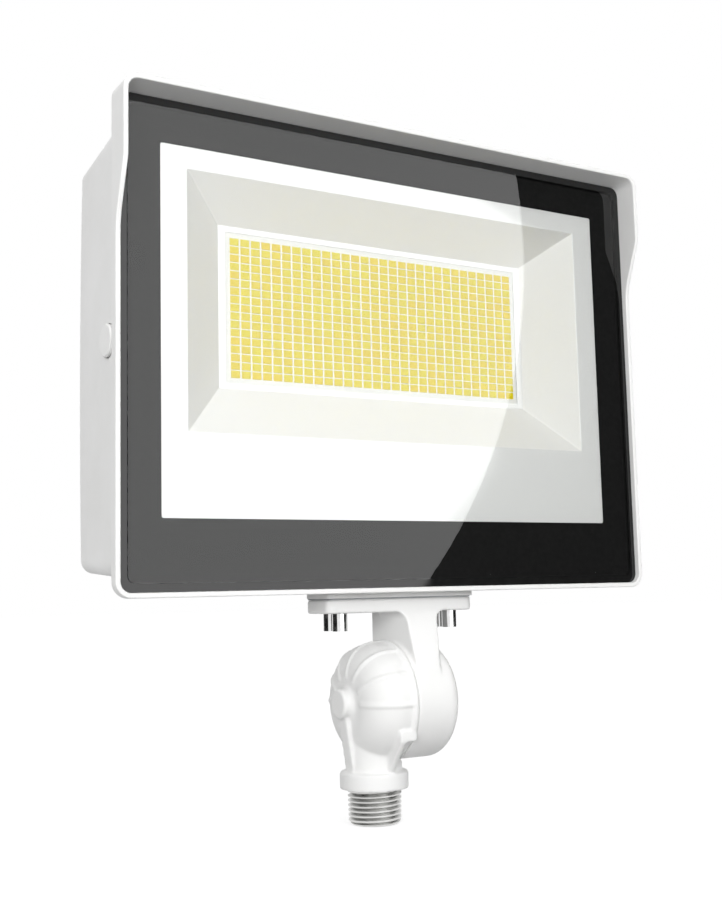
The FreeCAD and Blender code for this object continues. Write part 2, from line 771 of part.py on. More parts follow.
def make_pivot():
    """Pivot bolt with its washers and the face seal of the knuckle."""
    body = new_body("pivot_bolt")
    shank_start = "-(bolt_hole_depth - bolt_tip_gap)"
    rod(body, "X", (shank_start, "0", "0"), "bolt_seat - (%s)" % shank_start, "bolt_radius")
    rod(body, "X", ("bolt_seat", "0", "0"), "bolt_head_height", "bolt_head_radius")
    head_end = "(bolt_seat + bolt_head_height)"
    hexagon(body, "X", (head_end + " - bolt_socket_depth", "0", "0"), "bolt_socket_depth", "bolt_socket_radius")

    body = new_body("bolt_washer")
    ring = circles(body, "YZ_Plane", "counterbore_face + face_gap", ("0", "0"),
                   ("washer_radius", "bolt_radius + face_gap"))
    extrude(body, "Pad", ring, "washer_thickness")

    body = new_body("friction_washer")
    ring = circles(body, "YZ_Plane", "-friction_recess", ("0", "0"), ("hub_radius", "bolt_radius + face_gap"))
    extrude(body, "Pad", ring, "friction_recess + joint_gap - face_gap")

    body = new_body("knuckle_seal")
    ring = circles(body, "YZ_Plane", "-seal_groove", ("0", "0"), (
        "seal_ring_radius - seal_ring_width / 2",
        "seal_ring_radius + seal_ring_width / 2",
    ))
    extrude(body, "Pad", ring, "seal_groove + joint_gap - face_gap")


def make_plate_fixings():
    """Seal and four cylinder-head screws between the mount plate and the housing pad."""
    body = new_body("plate_gasket")
    block(body, ("plate_left + plate_seal_inset", "plate_front + plate_seal_inset", "plate_top"),
          ("plate_right - plate_seal_inset", "plate_front + plate_depth - plate_seal_inset", "pad_bottom"))
    rod(body, "Z", ("stem_middle", "wire_depth", "plate_top"), "plate_seal", "stem_wire_hole", cut=True)
    for across, along in plate_screw_places():
        rod(body, "Z", (across, along, "plate_top"), "plate_seal",
            "plate_screw_radius + plate_screw_hole_gap", cut=True)

    body = new_body("plate_screws")
    across, along = plate_screw_places()[0]
    head_bottom = "(stem_height - plate_screw_head_height)"
    rod(body, "Z", (across, along, head_bottom), "plate_screw_head_height", "plate_screw_head_radius")
    rod(body, "Z", (across, along, "stem_height"), "pad_bottom + plate_screw_grip - stem_height",
        "plate_screw_radius")
    hexagon(body, "Z", (across, along, head_bottom), "plate_screw_head_height / 2", "plate_screw_radius")
    repeat(body, "X", "plate_screw_spread", "2")
    repeat(body, "Y", "plate_screw_rows", "2")


def make_front_frame():
    """Die-cast front frame: rim, hood over the glass, and the ledge that the glass lies on."""
    body = new_body("front_frame")
    slab(body, "frame_width / 2", "frame_bottom", "frame_top", "visor_front", "flange_back", "frame_round")
    slab(body, "shoulder_side", "frame_bottom + flange_overhang", "frame_top - flange_overhang",
         "flange_back", "ledge_back", "opening_round")
    sections = [
        rectangle(body, "XZ_Plane", "-(%s)" % depth, "-opening_side", "opening_bottom", "opening_side", top)
        for depth, top in (("seal_seat", "opening_top"), ("visor_front", "opening_mouth_top"))
    ]
    loft(body, "SubtractiveLoft", sections)
    dress(body, "Fillet", is_opening_corner, Radius="opening_round")
    slab(body, "glass_side + glass_gap", "glass_bottom - glass_gap", "glass_top + glass_gap",
         "seal_seat", "ledge_front", "glass_round", cut=True)
    slab(body, "tray_side + tray_clear", "tray_bottom - tray_clear", "tray_top + tray_clear",
         "ledge_front", "ledge_back", "tray_lap", cut=True)
    hood_outline = polygon(body, "YZ_Plane", "0", (
        ("visor_front - tip_gap", "frame_bottom - tip_gap"),
        ("rim_front", "frame_bottom - tip_gap"),
        ("rim_front", "visor_slant_end"),
        ("visor_front", "visor_corner"),
        ("visor_front - tip_gap", "visor_corner"),
    ))
    extrude(body, "Pocket", hood_outline, "frame_width + 2 * tip_gap", both_ways=True)
    dress(body, "Fillet", upright_corner("X", (("rim_front", "visor_slant_end"),)), Radius="visor_blend")
    for across, height in frame_screw_places():
        rod(body, "Y", (across, "ledge_front", height), "ledge_thickness",
            "frame_screw_radius + frame_screw_hole_gap", cut=True)
        cone(body, "Y", (across, "ledge_front", height), "frame_screw_head_height",
             "frame_screw_head_radius + frame_screw_hole_gap", "frame_screw_radius + frame_screw_hole_gap", cut=True)


def is_opening_corner(edge):
    """Pick the four long inner corner edges of the frame's front opening."""
    ends = [vertex.Point for vertex in edge.Vertexes]
    side = value("opening_side")
    at_side = len(ends) == 2 and all(abs(abs(point.x) - side) < TOLERANCE for point in ends)
    return at_side and abs(ends[0].y - ends[1].y) > TOLERANCE


def frame_screw_places():
    """List the six screws that hold the frame on the housing."""
    return [
        (across, height)
        for across in ("-frame_screw_across", "frame_screw_across")
        for height in ("frame_screw_low", "frame_screw_mid", "frame_screw_high")
    ]


def make_ring(label, outer, inner, front, back, outer_round, inner_round):
    """Flat ring between two upright outlines, each given as side, bottom and top."""
    body = new_body(label)
    slab(body, *outer, front, back)
    slab(body, *inner, front, back, inner_round, cut=True)
    round_corners(body, *outer, outer_round)


def make_glazing():
    """Glass with its printed border, the bead round its edge and the strip that it lies on."""
    body = new_body("front_glass")
    slab(body, "glass_side", "glass_bottom", "glass_top", "glass_front", "glass_back", "glass_round")
    glass = ("glass_side", "glass_bottom", "glass_top")
    window = ("window_side", "window_bottom", "window_top")
    print_edge = ("glass_side - print_inset", "glass_bottom + print_inset", "glass_top - print_inset")
    bed_edge = ("glass_side - bed_width", "glass_bottom + bed_width", "glass_top - bed_width")
    bead_edge = ("opening_side - seal_slack", "opening_bottom + seal_slack", "opening_top - seal_slack")
    make_ring("glass_border", print_edge, window, "glass_back", "print_back", "glass_round", "tray_lap")
    make_ring("glass_gasket", print_edge, bed_edge, "print_back", "ledge_front", "glass_round", "glass_round")
    make_ring("glass_seal", bead_edge, glass, "glass_front + seal_sink", "seal_seat",
              "opening_round", "glass_round")


def make_frame_screws():
    """Countersunk screws that clamp the frame on the housing posts."""
    body = new_body("frame_screws")
    across, height = frame_screw_places()[0]
    cone(body, "Y", (across, "ledge_front", height), "frame_screw_head_height",
         "frame_screw_head_radius", "frame_screw_radius")
    rod(body, "Y", (across, "ledge_front", height), "frame_screw_length", "frame_screw_radius")
    hexagon(body, "Y", (across, "ledge_front", height), "frame_socket_depth", "frame_socket_radius")
    repeat(body, "Z", "frame_screw_high - frame_screw_low", "3")
    repeat(body, "X", "2 * frame_screw_across", "2")


def make_reflector():
    """White sheet reflector: flat panel with a sloped recess, open at its floor."""
    body = new_body("reflector_tray")
    slab(body, "tray_side", "tray_bottom", "tray_top", "tray_front", "tray_front + tray_sheet", "tray_lap")
    for kind, grow, sink in (("AdditiveLoft", "tray_sheet", "tray_sheet"), ("SubtractiveLoft", "0", "0")):
        mouth = rectangle(body, "XZ_Plane", "-tray_front",
                          "-mouth_side - " + grow, "mouth_bottom - " + grow,
                          "mouth_side + " + grow, "mouth_top + " + grow)
        floor = rectangle(body, "XZ_Plane", "-(floor_front + %s)" % sink,
                          "-floor_side - " + grow, "floor_bottom - " + grow,
                          "floor_side + " + grow, "floor_top + " + grow)
        loft(body, kind, [mouth, floor])
    slab(body, "source_side + source_margin",
         "source_middle - source_half_height - source_margin",
         "source_middle + source_half_height + source_margin",
         "floor_front", "floor_back", cut=True)


def make_light_source():
    """Board with its chips, heat pad, screws, connector and leads."""
    body = new_body("led_board")
    slab(body, "board_side", "board_bottom", "board_top", "floor_back", "board_back")
    for across, height in board_screw_places():
        rod(body, "Y", (across, "floor_back", height), "board_thickness",
            "board_screw_radius + face_gap", cut=True)

    chips = doc.addObject("Part::Feature", "led_chips")
    width = value("led_width")
    height = value("led_height")
    thickness = value("led_thickness")
    solids = []
    for column in range(int(value("led_columns"))):
        for row_number in range(int(value("led_rows"))):
            corner = FreeCAD.Vector(
                column * value("led_pitch_across") - value("source_side"),
                value("floor_back") - thickness,
                row_number * value("led_pitch_up") + value("source_middle - source_half_height"),
            )
            solids.append(Part.makeBox(width, thickness, height, corner))
    chips.Shape = Part.makeCompound(solids)
    chips.Label = "led_chips"
    place(chips, "joint_offset", "0", "pivot_height")
    sub_parts.append(chips)

    body = new_body("thermal_pad")
    slab(body, "board_side", "board_bottom", "board_top", "board_back", "spreader_front")
    for across, height in board_screw_places():
        rod(body, "Y", (across, "board_back", height), "thermal_pad_thickness",
            "board_screw_radius + face_gap", cut=True)

    body = new_body("board_screws")
    across, height = board_screw_places()[0]
    head_front = "floor_back - board_screw_head_height"
    rod(body, "Y", (across, head_front, height), "board_screw_head_height", "board_screw_head_radius")
    rod(body, "Y", (across, "floor_back", height), "board_screw_length", "board_screw_radius")
    hexagon(body, "Y", (across, head_front, height), "board_screw_head_height / 2", "board_screw_radius")
    repeat(body, "X", "2 * board_screw_across", "2")
    repeat(body, "Z", "board_top - board_bottom - 2 * board_screw_inset", "2")

    body = new_body("board_connector")
    block(body, ("-connector_width / 2", "floor_back - connector_thickness", "connector_bottom"),
          ("connector_width / 2", "floor_back", "connector_bottom + connector_height"))

    body = new_body("led_leads")
    rod(body, "Z", ("-lead_spread / 2", "lead_depth", "driver_top"), "connector_bottom - driver_top", "lead_radius")
    repeat(body, "X", "lead_spread", "2")


def board_screw_places():
    """List the four screws that press the board on the housing."""
    return [
        (across, height)
        for across in ("-board_screw_across", "board_screw_across")
        for height in ("board_bottom + board_screw_inset", "board_top - board_screw_inset")
    ]


def make_housing():
    """Die-cast rear housing: drafted shell, driver bay, heat spreader with fins, and pad underneath."""
    body = new_body("rear_housing")
    mouth = rectangle(body, "XZ_Plane", "-housing_front",
                      "-shoulder_side", "housing_bottom", "shoulder_side", "housing_top")
    shell = extrude(body, "Pad", mouth, "housing_depth", reverse=True)
    bind(shell, TaperAngle="-housing_draft")
    doc.recompute()
    slab(body, "housing_inside", "housing_floor", "housing_ceiling", "housing_front", "spreader_front",
         "housing_round - housing_wall", cut=True)
    dress(body, "Fillet", is_long_edge, Radius="housing_round")
    trim_crown(body)
    pad_left = "plate_left"
    pad_right = "plate_right + pad_lip"
    pad_front = "plate_front - pad_lip"
    pad_back = "plate_front + plate_depth + pad_lip"
    block(body, (pad_left, pad_front, "pad_bottom"), (pad_right, pad_back, "housing_floor"))
    dress(body, "Fillet", upright_corner("Z", (
        (pad_left, pad_front),
        (pad_right, pad_front),
        (pad_right, pad_back),
        (pad_left, pad_back),
    )), Radius="plate_round")
    slab(body, "housing_inside - bay_inset", "bay_bottom", "bay_top", "spreader_front", "bay_back", cut=True)
    for across, height in frame_screw_places():
        post_back = "bay_back" if height == "frame_screw_low" else "spreader_front"
        rod(body, "Y", (across, "housing_front", height), post_back + " - housing_front", "frame_post_radius")
        rod(body, "Y", (across, "housing_front", height),
            "ledge_front + frame_screw_length + tip_gap - housing_front", "frame_screw_radius + fit_gap", cut=True)
    for across, height in board_screw_places():
        rod(body, "Y", (across, "spreader_front", height),
            "floor_back + board_screw_length + tip_gap / 2 - spreader_front", "board_screw_radius + fit_gap", cut=True)
    for across, along in plate_screw_places():
        rod(body, "Z", (across, along, "pad_bottom"), "plate_screw_grip + tip_gap / 2",
            "plate_screw_radius + fit_gap", cut=True)
    rod(body, "Z", ("stem_middle", "wire_depth", "pad_bottom"), "housing_floor - pad_bottom",
        "grommet_radius + fit_gap", cut=True)
    for across in ("-driver_screw_side", "driver_screw_side"):
        rod(body, "Y", (across, "bay_back", "driver_middle"), "driver_screw_grip + tip_gap / 4",
            "driver_screw_radius + fit_gap", cut=True)
    rod(body, "Y", ("ground_screw_side", "bay_back - ground_post_height", "driver_middle"), "ground_post_height",
        "ground_post_radius")
    rod(body, "Y", ("ground_screw_side", "bay_back - ground_post_height", "driver_middle"),
        "ground_screw_grip + tip_gap / 2", "ground_screw_radius + fit_gap", cut=True)
    rod(body, "X", ("-shoulder_side - tip_gap", "plug_depth", "plug_height"), "plug_sink + tip_gap",
        "plug_radius + plug_seat_gap", cut=True)
    rod(body, "X", ("-shoulder_side", "plug_depth", "plug_height"), "housing_wall",
        "plug_shank_radius + fit_gap", cut=True)
    cut_fin_slots(body)


def is_long_edge(edge):
    """Pick the four drafted corner edges of the housing block."""
    ends = [vertex.Point for vertex in edge.Vertexes]
    return abs(ends[0].y - ends[1].y) > value("housing_depth") / 2


def trim_crown(body):
    """Cut the back of the housing to a shallow arc that is highest at mid-height."""
    sketch = new_sketch(body, "YZ_Plane", "0")
    end_depth = "housing_back - housing_crown"
    low, high = "housing_bottom", "housing_top"
    outside = "housing_back + housing_crown"
    start = FreeCAD.Vector(value(end_depth), value(low), 0)
    middle = FreeCAD.Vector(value("housing_back"), value("(housing_bottom + housing_top) / 2"), 0)
    end = FreeCAD.Vector(value(end_depth), value(high), 0)
    far_high = FreeCAD.Vector(value(outside), value(high), 0)
    far_low = FreeCAD.Vector(value(outside), value(low), 0)
    sketch.addGeometry(Part.Arc(start, middle, end))
    sketch.addGeometry(Part.LineSegment(end, far_high))
    sketch.addGeometry(Part.LineSegment(far_high, far_low))
    sketch.addGeometry(Part.LineSegment(far_low, start))
    for first, second in ((0, 1), (1, 2), (2, 3), (3, 0)):
        sketch.addConstraint(Sketcher.Constraint("Coincident", first, 2, second, 1))
    for geometry, across, up in ((1, end_depth, high), (2, outside, high), (3, outside, low), (0, end_depth, low)):
        pin_point(sketch, geometry, 1, across, up)
    half = "((housing_top - housing_bottom) / 2)"
    radius = "(%s * %s + housing_crown * housing_crown) / (2 * housing_crown)" % (half, half)
    limit = sketch.addConstraint(Sketcher.Constraint("Radius", 0, value(radius)))
    sketch.setExpression("Constraints[%d]" % limit, formula(radius))
    doc.recompute()
    extrude(body, "Pocket", sketch, "frame_width", both_ways=True)


def cut_fin_slots(body):
    """Cut the upright slots between the cooling fins."""
    row_length = "((slot_count - 1) * slot_pitch)"
    first = "-%s / 2 - slot_width / 2" % row_length
    slot = block(body, (first, "fin_root", "fin_bottom"),
                 (first + " + slot_width", "housing_back + tip_gap", "housing_top + tip_gap"), cut=True)
    row_of_slots = body.newObject("PartDesign::LinearPattern", "Fins")
    row_of_slots.Originals = [slot]
    row_of_slots.Direction = (role(body, "X_Axis"), [""])
    bind(row_of_slots, Length=row_length, Occurrences="slot_count")
    body.Tip = row_of_slots
    doc.recompute()


def make_driver():
    """Driver case on its foot plate, with its screws and the earth screw."""
    body = new_body("driver")
    slab(body, "driver_width / 2", "driver_bottom", "driver_top", "driver_front", "bay_back - driver_foot_thickness",
         "driver_foot_thickness")
    slab(body, "driver_foot_side", "driver_bottom", "driver_top", "bay_back - driver_foot_thickness", "bay_back")
    for across in ("-driver_screw_side", "driver_screw_side"):
        rod(body, "Y", (across, "bay_back - driver_foot_thickness", "driver_middle"), "driver_foot_thickness",
            "driver_screw_radius + face_gap", cut=True)

    body = new_body("driver_screws")
    first = "-driver_screw_side"
    head_back = "bay_back - driver_foot_thickness"
    rod(body, "Y", (first, head_back + " - driver_screw_head_height", "driver_middle"), "driver_screw_head_height",
        "driver_screw_head_radius")
    rod(body, "Y", (first, head_back, "driver_middle"), "driver_foot_thickness + driver_screw_grip",
        "driver_screw_radius")
    repeat(body, "X", "2 * driver_screw_side", "2")

    body = new_body("ground_screw")
    post_front = "bay_back - ground_post_height"
    rod(body, "Y", ("ground_screw_side", post_front + " - ground_screw_head_height", "driver_middle"),
        "ground_screw_head_height", "ground_screw_head_radius")
    rod(body, "Y", ("ground_screw_side", post_front, "driver_middle"), "ground_screw_grip", "ground_screw_radius")


def make_entries():
    """Wire grommet in the housing floor, and the plug and seal in the left wall."""
    body = new_body("wire_grommet")
    axis = ("stem_middle", "wire_depth")
    rod(body, "Z", axis + ("housing_floor - grommet_length",), "grommet_length", "grommet_radius")
    rod(body, "Z", axis + ("housing_floor",), "grommet_flange_thickness", "grommet_flange_radius")
    rod(body, "Z", axis + ("housing_floor - grommet_length",), "grommet_length + grommet_flange_thickness",
        "grommet_bore", cut=True)

    body = new_body("side_plug")
    seat = "-(plug_seat + plug_seal_thickness)"
    face = "-(shoulder_side + plug_show)"
    rod(body, "X", (face, "plug_depth", "plug_height"), "%s - (%s)" % (seat, face), "plug_radius")
    rod(body, "X", (seat, "plug_depth", "plug_height"), "plug_shank_length", "plug_shank_radius")

    body = new_body("plug_seal")
    rod(body, "X", (seat, "plug_depth", "plug_height"), "plug_seal_thickness", "plug_radius - plug_seal_inset")
    rod(body, "X", (seat, "plug_depth", "plug_height"), "plug_seal_thickness",
        "plug_shank_radius + fit_gap", cut=True)


def check_and_write():
    """Stop on a failed object or a bad solid, then write one file for each sub-part."""
    doc.recompute()
    failed = [item.Name for item in doc.Objects if "Invalid" in item.State or "Error" in item.State]
    if failed:
        raise RuntimeError("failed objects: " + ", ".join(failed))
    for item in sub_parts:
        shape = item.Shape
        if shape.isNull() or not shape.isValid() or not shape.Solids:
            raise RuntimeError("bad shape: " + item.Label)
    os.makedirs("parts", exist_ok=True)
    for item in sub_parts:
        item.Shape.exportStep("parts/%s.step" % item.Label)
        print("%-16s %4d solids %12.1f mm3" % (item.Label, len(item.Shape.Solids), item.Shape.Volume))


make_nipple()
make_lower_knuckle()
make_upper_knuckle()
make_pivot()
make_plate_fixings()
make_front_frame()
make_glazing()
make_frame_screws()
make_reflector()
make_light_source()
make_housing()
make_ring("housing_gasket",
          ("shoulder_side", "housing_bottom", "housing_top"),
          ("housing_inside", "housing_floor", "housing_ceiling"),
          "ledge_back", "housing_front", "housing_round", "housing_round - housing_wall")
make_driver()
make_entries()
check_and_write()
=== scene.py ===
"""Looks of a hooded flood light on a tilting knuckle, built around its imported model.

Lengths are in metres, in the part's own frame: +Z up, the light shines towards -Y,
+X is to the right seen from in front.
"""
from __future__ import annotations

import json
import logging
import math
from collections.abc import Callable
from dataclasses import dataclass
from enum import Enum

import bmesh
import bpy
from mathutils import Matrix, Vector

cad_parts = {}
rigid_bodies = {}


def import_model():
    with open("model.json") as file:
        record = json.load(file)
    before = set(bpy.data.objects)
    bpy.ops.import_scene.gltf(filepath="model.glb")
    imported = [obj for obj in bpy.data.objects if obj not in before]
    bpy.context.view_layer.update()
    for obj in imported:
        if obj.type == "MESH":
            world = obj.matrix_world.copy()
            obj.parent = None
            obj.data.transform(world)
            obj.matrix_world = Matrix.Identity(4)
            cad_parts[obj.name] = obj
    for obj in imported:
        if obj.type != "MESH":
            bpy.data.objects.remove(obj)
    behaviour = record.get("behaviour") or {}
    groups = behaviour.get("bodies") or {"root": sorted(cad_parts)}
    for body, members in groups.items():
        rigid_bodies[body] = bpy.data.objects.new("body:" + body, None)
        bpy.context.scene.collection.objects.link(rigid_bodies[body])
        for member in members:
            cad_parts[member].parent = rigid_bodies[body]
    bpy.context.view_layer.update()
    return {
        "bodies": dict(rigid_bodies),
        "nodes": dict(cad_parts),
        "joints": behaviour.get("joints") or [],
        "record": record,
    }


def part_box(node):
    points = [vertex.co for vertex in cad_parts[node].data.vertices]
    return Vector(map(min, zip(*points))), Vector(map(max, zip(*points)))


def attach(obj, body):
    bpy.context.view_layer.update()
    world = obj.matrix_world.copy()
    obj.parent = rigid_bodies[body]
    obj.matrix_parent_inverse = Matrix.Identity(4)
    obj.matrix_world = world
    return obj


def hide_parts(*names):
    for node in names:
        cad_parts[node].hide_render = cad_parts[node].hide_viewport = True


LOG = logging.getLogger("flood_light")
WELD = 1e-6
FLAT_TURN = math.radians(0.4)
SHARP_TURN = math.radians(40.0)
PLAIN_STEPS = 2
FINE_STEPS = 3
PATTERN_LOW = 0.3
PATTERN_HIGH = 0.7
HALF_BOUNCE = 0.5

Colour = tuple[float, float, float]
Point = tuple[float, float, float]
Sides = tuple[float, float, float, float]
Nodes = dict[str, bpy.types.Object]
EdgeTest = Callable[[bmesh.types.BMEdge], bool]


class Body(Enum):
    """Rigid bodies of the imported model."""

    ROOT = "root"
    HEAD = "head"


class Crease(Enum):
    """Angles in degrees past which an edge stays sharp."""

    PANE = 20.0
    CAST = 40.0
    SHEET = 50.0
    NONE = 180.0


class MaterialGraph:
    """One node material with a Principled shader that reads Object coordinates."""

    def __init__(self, name: str) -> None:
        """Start an empty material.

        Args:
            name: Name of the material.
        """
        self.material = bpy.data.materials.new(name)
        self.material.use_nodes = True
        self.tree = self.material.node_tree
        self.tree.nodes.clear()
        self.shader = self.tree.nodes.new("ShaderNodeBsdfPrincipled")
        output = self.tree.nodes.new("ShaderNodeOutputMaterial")
        self.join(self.shader.outputs["BSDF"], output.inputs["Surface"])
        self.place = self.tree.nodes.new("ShaderNodeTexCoord").outputs["Object"]

    def join(self, source: bpy.types.NodeSocket, target: bpy.types.NodeSocket) -> None:
        """Link two sockets."""
        self.tree.links.new(source, target)

    def set(self, **values: float | Colour) -> None:
        """Set plain values on the shader's own sockets.

        Args:
            values: Socket names with underscores for blanks, and what they hold.
        """
        for word, value in values.items():
            socket = self.shader.inputs[word.replace("_", " ")]
            socket.default_value = (*value, 1.0) if isinstance(value, tuple) else value

    def stretch(self, scale: Point) -> bpy.types.NodeSocket:
        """Scale the Object coordinates.

        Args:
            scale: Scale along each axis.

        Returns:
            The vector socket of the scaled coordinates.
        """
        node = self.tree.nodes.new("ShaderNodeMapping")
        node.inputs["Scale"].default_value = scale
        self.join(self.place, node.inputs["Vector"])
        return node.outputs["Vector"]

    def noise(
        self, scale: float, detail: float = 2.0, place: bpy.types.NodeSocket | None = None
    ) -> bpy.types.NodeSocket:
        """Add a noise pattern.

        Args:
            scale: Features per metre.
            detail: Octaves of the pattern.
            place: Coordinates to read in place of the plain Object ones.

        Returns:
            The socket of the pattern's value.
        """
        node = self.tree.nodes.new("ShaderNodeTexNoise")
        node.inputs["Scale"].default_value = scale
        node.inputs["Detail"].default_value = detail
        self.join(place or self.place, node.inputs["Vector"])
        return node.outputs["Fac"]

    def spread(
        self, source: bpy.types.NodeSocket, low: float, high: float
    ) -> bpy.types.NodeSocket:
        """Map the middle range of a pattern to a range of values.

        Args:
            source: Pattern socket.
            low: Value where the pattern is low.
            high: Value where the pattern is high.

        Returns:
            The socket of the mapped value.
        """
        node = self.tree.nodes.new("ShaderNodeMapRange")
        node.inputs["From Min"].default_value = PATTERN_LOW
        node.inputs["From Max"].default_value = PATTERN_HIGH
        node.inputs["To Min"].default_value = low
        node.inputs["To Max"].default_value = high
        self.join(source, node.inputs["Value"])
        return node.outputs["Result"]

    def blend(
        self, source: bpy.types.NodeSocket, first: Colour, second: Colour
    ) -> bpy.types.NodeSocket:
        """Blend two colours by a pattern.

        Args:
            source: Pattern socket.
            first: Colour where the pattern is low.
            second: Colour where the pattern is high.

        Returns:
            The socket of the blended colour.
        """
        node = self.tree.nodes.new("ShaderNodeMix")
        node.data_type = "RGBA"
        node.inputs["A"].default_value = (*first, 1.0)
        node.inputs["B"].default_value = (*second, 1.0)
        self.join(source, node.inputs["Factor"])
        return node.outputs["Result"]

    def feed(self, word: str, source: bpy.types.NodeSocket) -> None:
        """Link a pattern to one of the shader's sockets."""
        self.join(source, self.shader.inputs[word])

    def bump(self, source: bpy.types.NodeSocket, strength: float, depth: float) -> None:
        """Raise the surface by a pattern.

        Args:
            source: Pattern socket.
            strength: Strength of the effect.
            depth: Height of the pattern in metres.
        """
        node = self.tree.nodes.new("ShaderNodeBump")
        node.inputs["Strength"].default_value = strength
        node.inputs["Distance"].default_value = depth
        self.join(source, node.inputs["Height"])
        self.join(node.outputs["Normal"], self.shader.inputs["Normal"])


@dataclass(frozen=True)
class PowderCoat:
    """Satin white powder coat with a fine orange-peel skin."""

    name: str = "white_powder_coat"
    pale: Colour = (0.86, 0.86, 0.855)
    deep: Colour = (0.82, 0.82, 0.81)
    smooth: float = 0.34
    rough: float = 0.46
    peel: float = 900.0
    peel_depth: float = 0.00008
    cloud: float = 35.0
    wear_share: float = 0.3

    def make(self) -> bpy.types.Material:
        """Build the material.

        Returns:
            The material.
        """
        graph = MaterialGraph(self.name)
        graph.set(Metallic=0.0, IOR=1.5, Specular_IOR_Level=0.45)
        cloud = graph.noise(self.cloud, detail=3.0)
        graph.feed("Base Color", graph.blend(graph.spread(cloud, 0.0, 1.0), self.deep, self.pale))
        wear = graph.noise(self.peel * self.wear_share)
        graph.feed("Roughness", graph.spread(wear, self.smooth, self.rough))
        graph.bump(graph.noise(self.peel), strength=0.12, depth=self.peel_depth)
        return graph.material


@dataclass(frozen=True)
class ReflectorFinish:
    """White reflector sheet: grainy paint under a glossy lacquer."""

    name: str = "reflector_lacquer"
    pale: Colour = (0.83, 0.83, 0.82)
    deep: Colour = (0.78, 0.78, 0.765)
    smooth: float = 0.42
    rough: float = 0.58
    grain: float = 1500.0
    grain_depth: float = 0.00006
    lacquer: float = 1.0
    lacquer_blur: float = 0.07
    lacquer_ior: float = 2.0

    def make(self) -> bpy.types.Material:
        """Build the material.

        Returns:
            The material.
        """
        graph = MaterialGraph(self.name)
        graph.set(Metallic=0.0, Specular_IOR_Level=0.35)
        graph.set(Coat_Weight=self.lacquer, Coat_Roughness=self.lacquer_blur)
        graph.set(Coat_IOR=self.lacquer_ior)
        grain = graph.noise(self.grain, detail=1.0)
        graph.feed("Base Color", graph.blend(graph.spread(grain, 0.0, 1.0), self.deep, self.pale))
        graph.feed("Roughness", graph.spread(grain, self.smooth, self.rough))
        graph.bump(grain, strength=0.25, depth=self.grain_depth)
        return graph.material


@dataclass(frozen=True)
class GlassFinish:
    """Clear toughened glass."""

    name: str = "clear_glass"
    colour: Colour = (0.97, 0.985, 0.98)
    ior: float = 1.5

    def make(self) -> bpy.types.Material:
        """Build the material.

        Returns:
            The material.
        """
        graph = MaterialGraph(self.name)
        graph.set(Base_Color=self.colour, Roughness=0.0, IOR=self.ior, Transmission_Weight=1.0)
        return graph.material


@dataclass(frozen=True)
class MouldedFinish:
    """Rubber, print, paint or plastic with a faint mottle."""

    name: str
    pale: Colour
    deep: Colour
    smooth: float
    rough: float
    grain: float
    depth: float
    gloss: float = 0.4

    def make(self) -> bpy.types.Material:
        """Build the material.

        Returns:
            The material.
        """
        graph = MaterialGraph(self.name)
        graph.set(Metallic=0.0, Specular_IOR_Level=self.gloss)
        grain = graph.noise(self.grain)
        graph.feed("Base Color", graph.blend(graph.spread(grain, 0.0, 1.0), self.deep, self.pale))
        graph.feed("Roughness", graph.spread(grain, self.smooth, self.rough))
        graph.bump(grain, strength=0.2, depth=self.depth)
        return graph.material


@dataclass(frozen=True)
class MetalFinish:
    """Bare metal with fine tool marks that run one way."""

    name: str
    pale: Colour
    deep: Colour
    smooth: float
    rough: float
    marks: Point
    depth: float = 0.00002

    def make(self) -> bpy.types.Material:
        """Build the material.

        Returns:
            The material.
        """
        graph = MaterialGraph(self.name)
        graph.set(Metallic=1.0)
        marks = graph.noise(1.0, detail=3.0, place=graph.stretch(self.marks))
        graph.feed("Base Color", graph.blend(graph.spread(marks, 0.0, 1.0), self.deep, self.pale))
        graph.feed("Roughness", graph.spread(marks, self.smooth, self.rough))
        graph.bump(marks, strength=0.15, depth=self.depth)
        return graph.material


@dataclass(frozen=True)
class PhosphorFinish:
    """Yellow phosphor, a little different from chip to chip."""

    name: str = "yellow_phosphor"
    lemon: Colour = (0.68, 0.585, 0.003)
    amber: Colour = (0.7, 0.535, 0.004)
    grain: float = 3000.0
    grain_depth: float = 0.00003

    def make(self, corner: Vector, pitch: Vector) -> bpy.types.Material:
        """Build the material.

        Args:
            corner: Corner where the first chip's cell starts.
            pitch: Size of one chip's cell.

        Returns:
            The material.
        """
        graph = MaterialGraph(self.name)
        graph.set(Metallic=0.0, Roughness=0.5, Specular_IOR_Level=0.1)
        shift = graph.tree.nodes.new("ShaderNodeVectorMath")
        shift.operation = "SUBTRACT"
        shift.inputs[1].default_value = corner
        graph.join(graph.place, shift.inputs[0])
        cell = graph.tree.nodes.new("ShaderNodeVectorMath")
        cell.operation = "SNAP"
        cell.inputs[1].default_value = pitch
        graph.join(shift.outputs[0], cell.inputs[0])
        chance = graph.tree.nodes.new("ShaderNodeTexWhiteNoise")
        graph.join(cell.outputs[0], chance.inputs["Vector"])
        graph.feed("Base Color", graph.blend(chance.outputs["Value"], self.lemon, self.amber))
        graph.bump(graph.noise(self.grain, detail=1.0), strength=0.1, depth=self.grain_depth)
        return graph.material


@dataclass(frozen=True)
class ClothFinish:
    """Black cloth of the cards."""

    name: str = "black_cloth"
    pale: Colour = (0.03, 0.03, 0.03)
    deep: Colour = (0.01, 0.01, 0.01)
    weave: float = 200.0

    def make(self) -> bpy.types.Material:
        """Build the material.

        Returns:
            The material.
        """
        graph = MaterialGraph(self.name)
        graph.set(Roughness=0.9, Specular_IOR_Level=0.1)
        graph.feed("Base Color", graph.blend(graph.noise(self.weave), self.deep, self.pale))
        return graph.material


def edge_middle(edge: bmesh.types.BMEdge) -> Vector:
    """Give the middle of an edge."""
    return (edge.verts[0].co + edge.verts[1].co) / 2.0


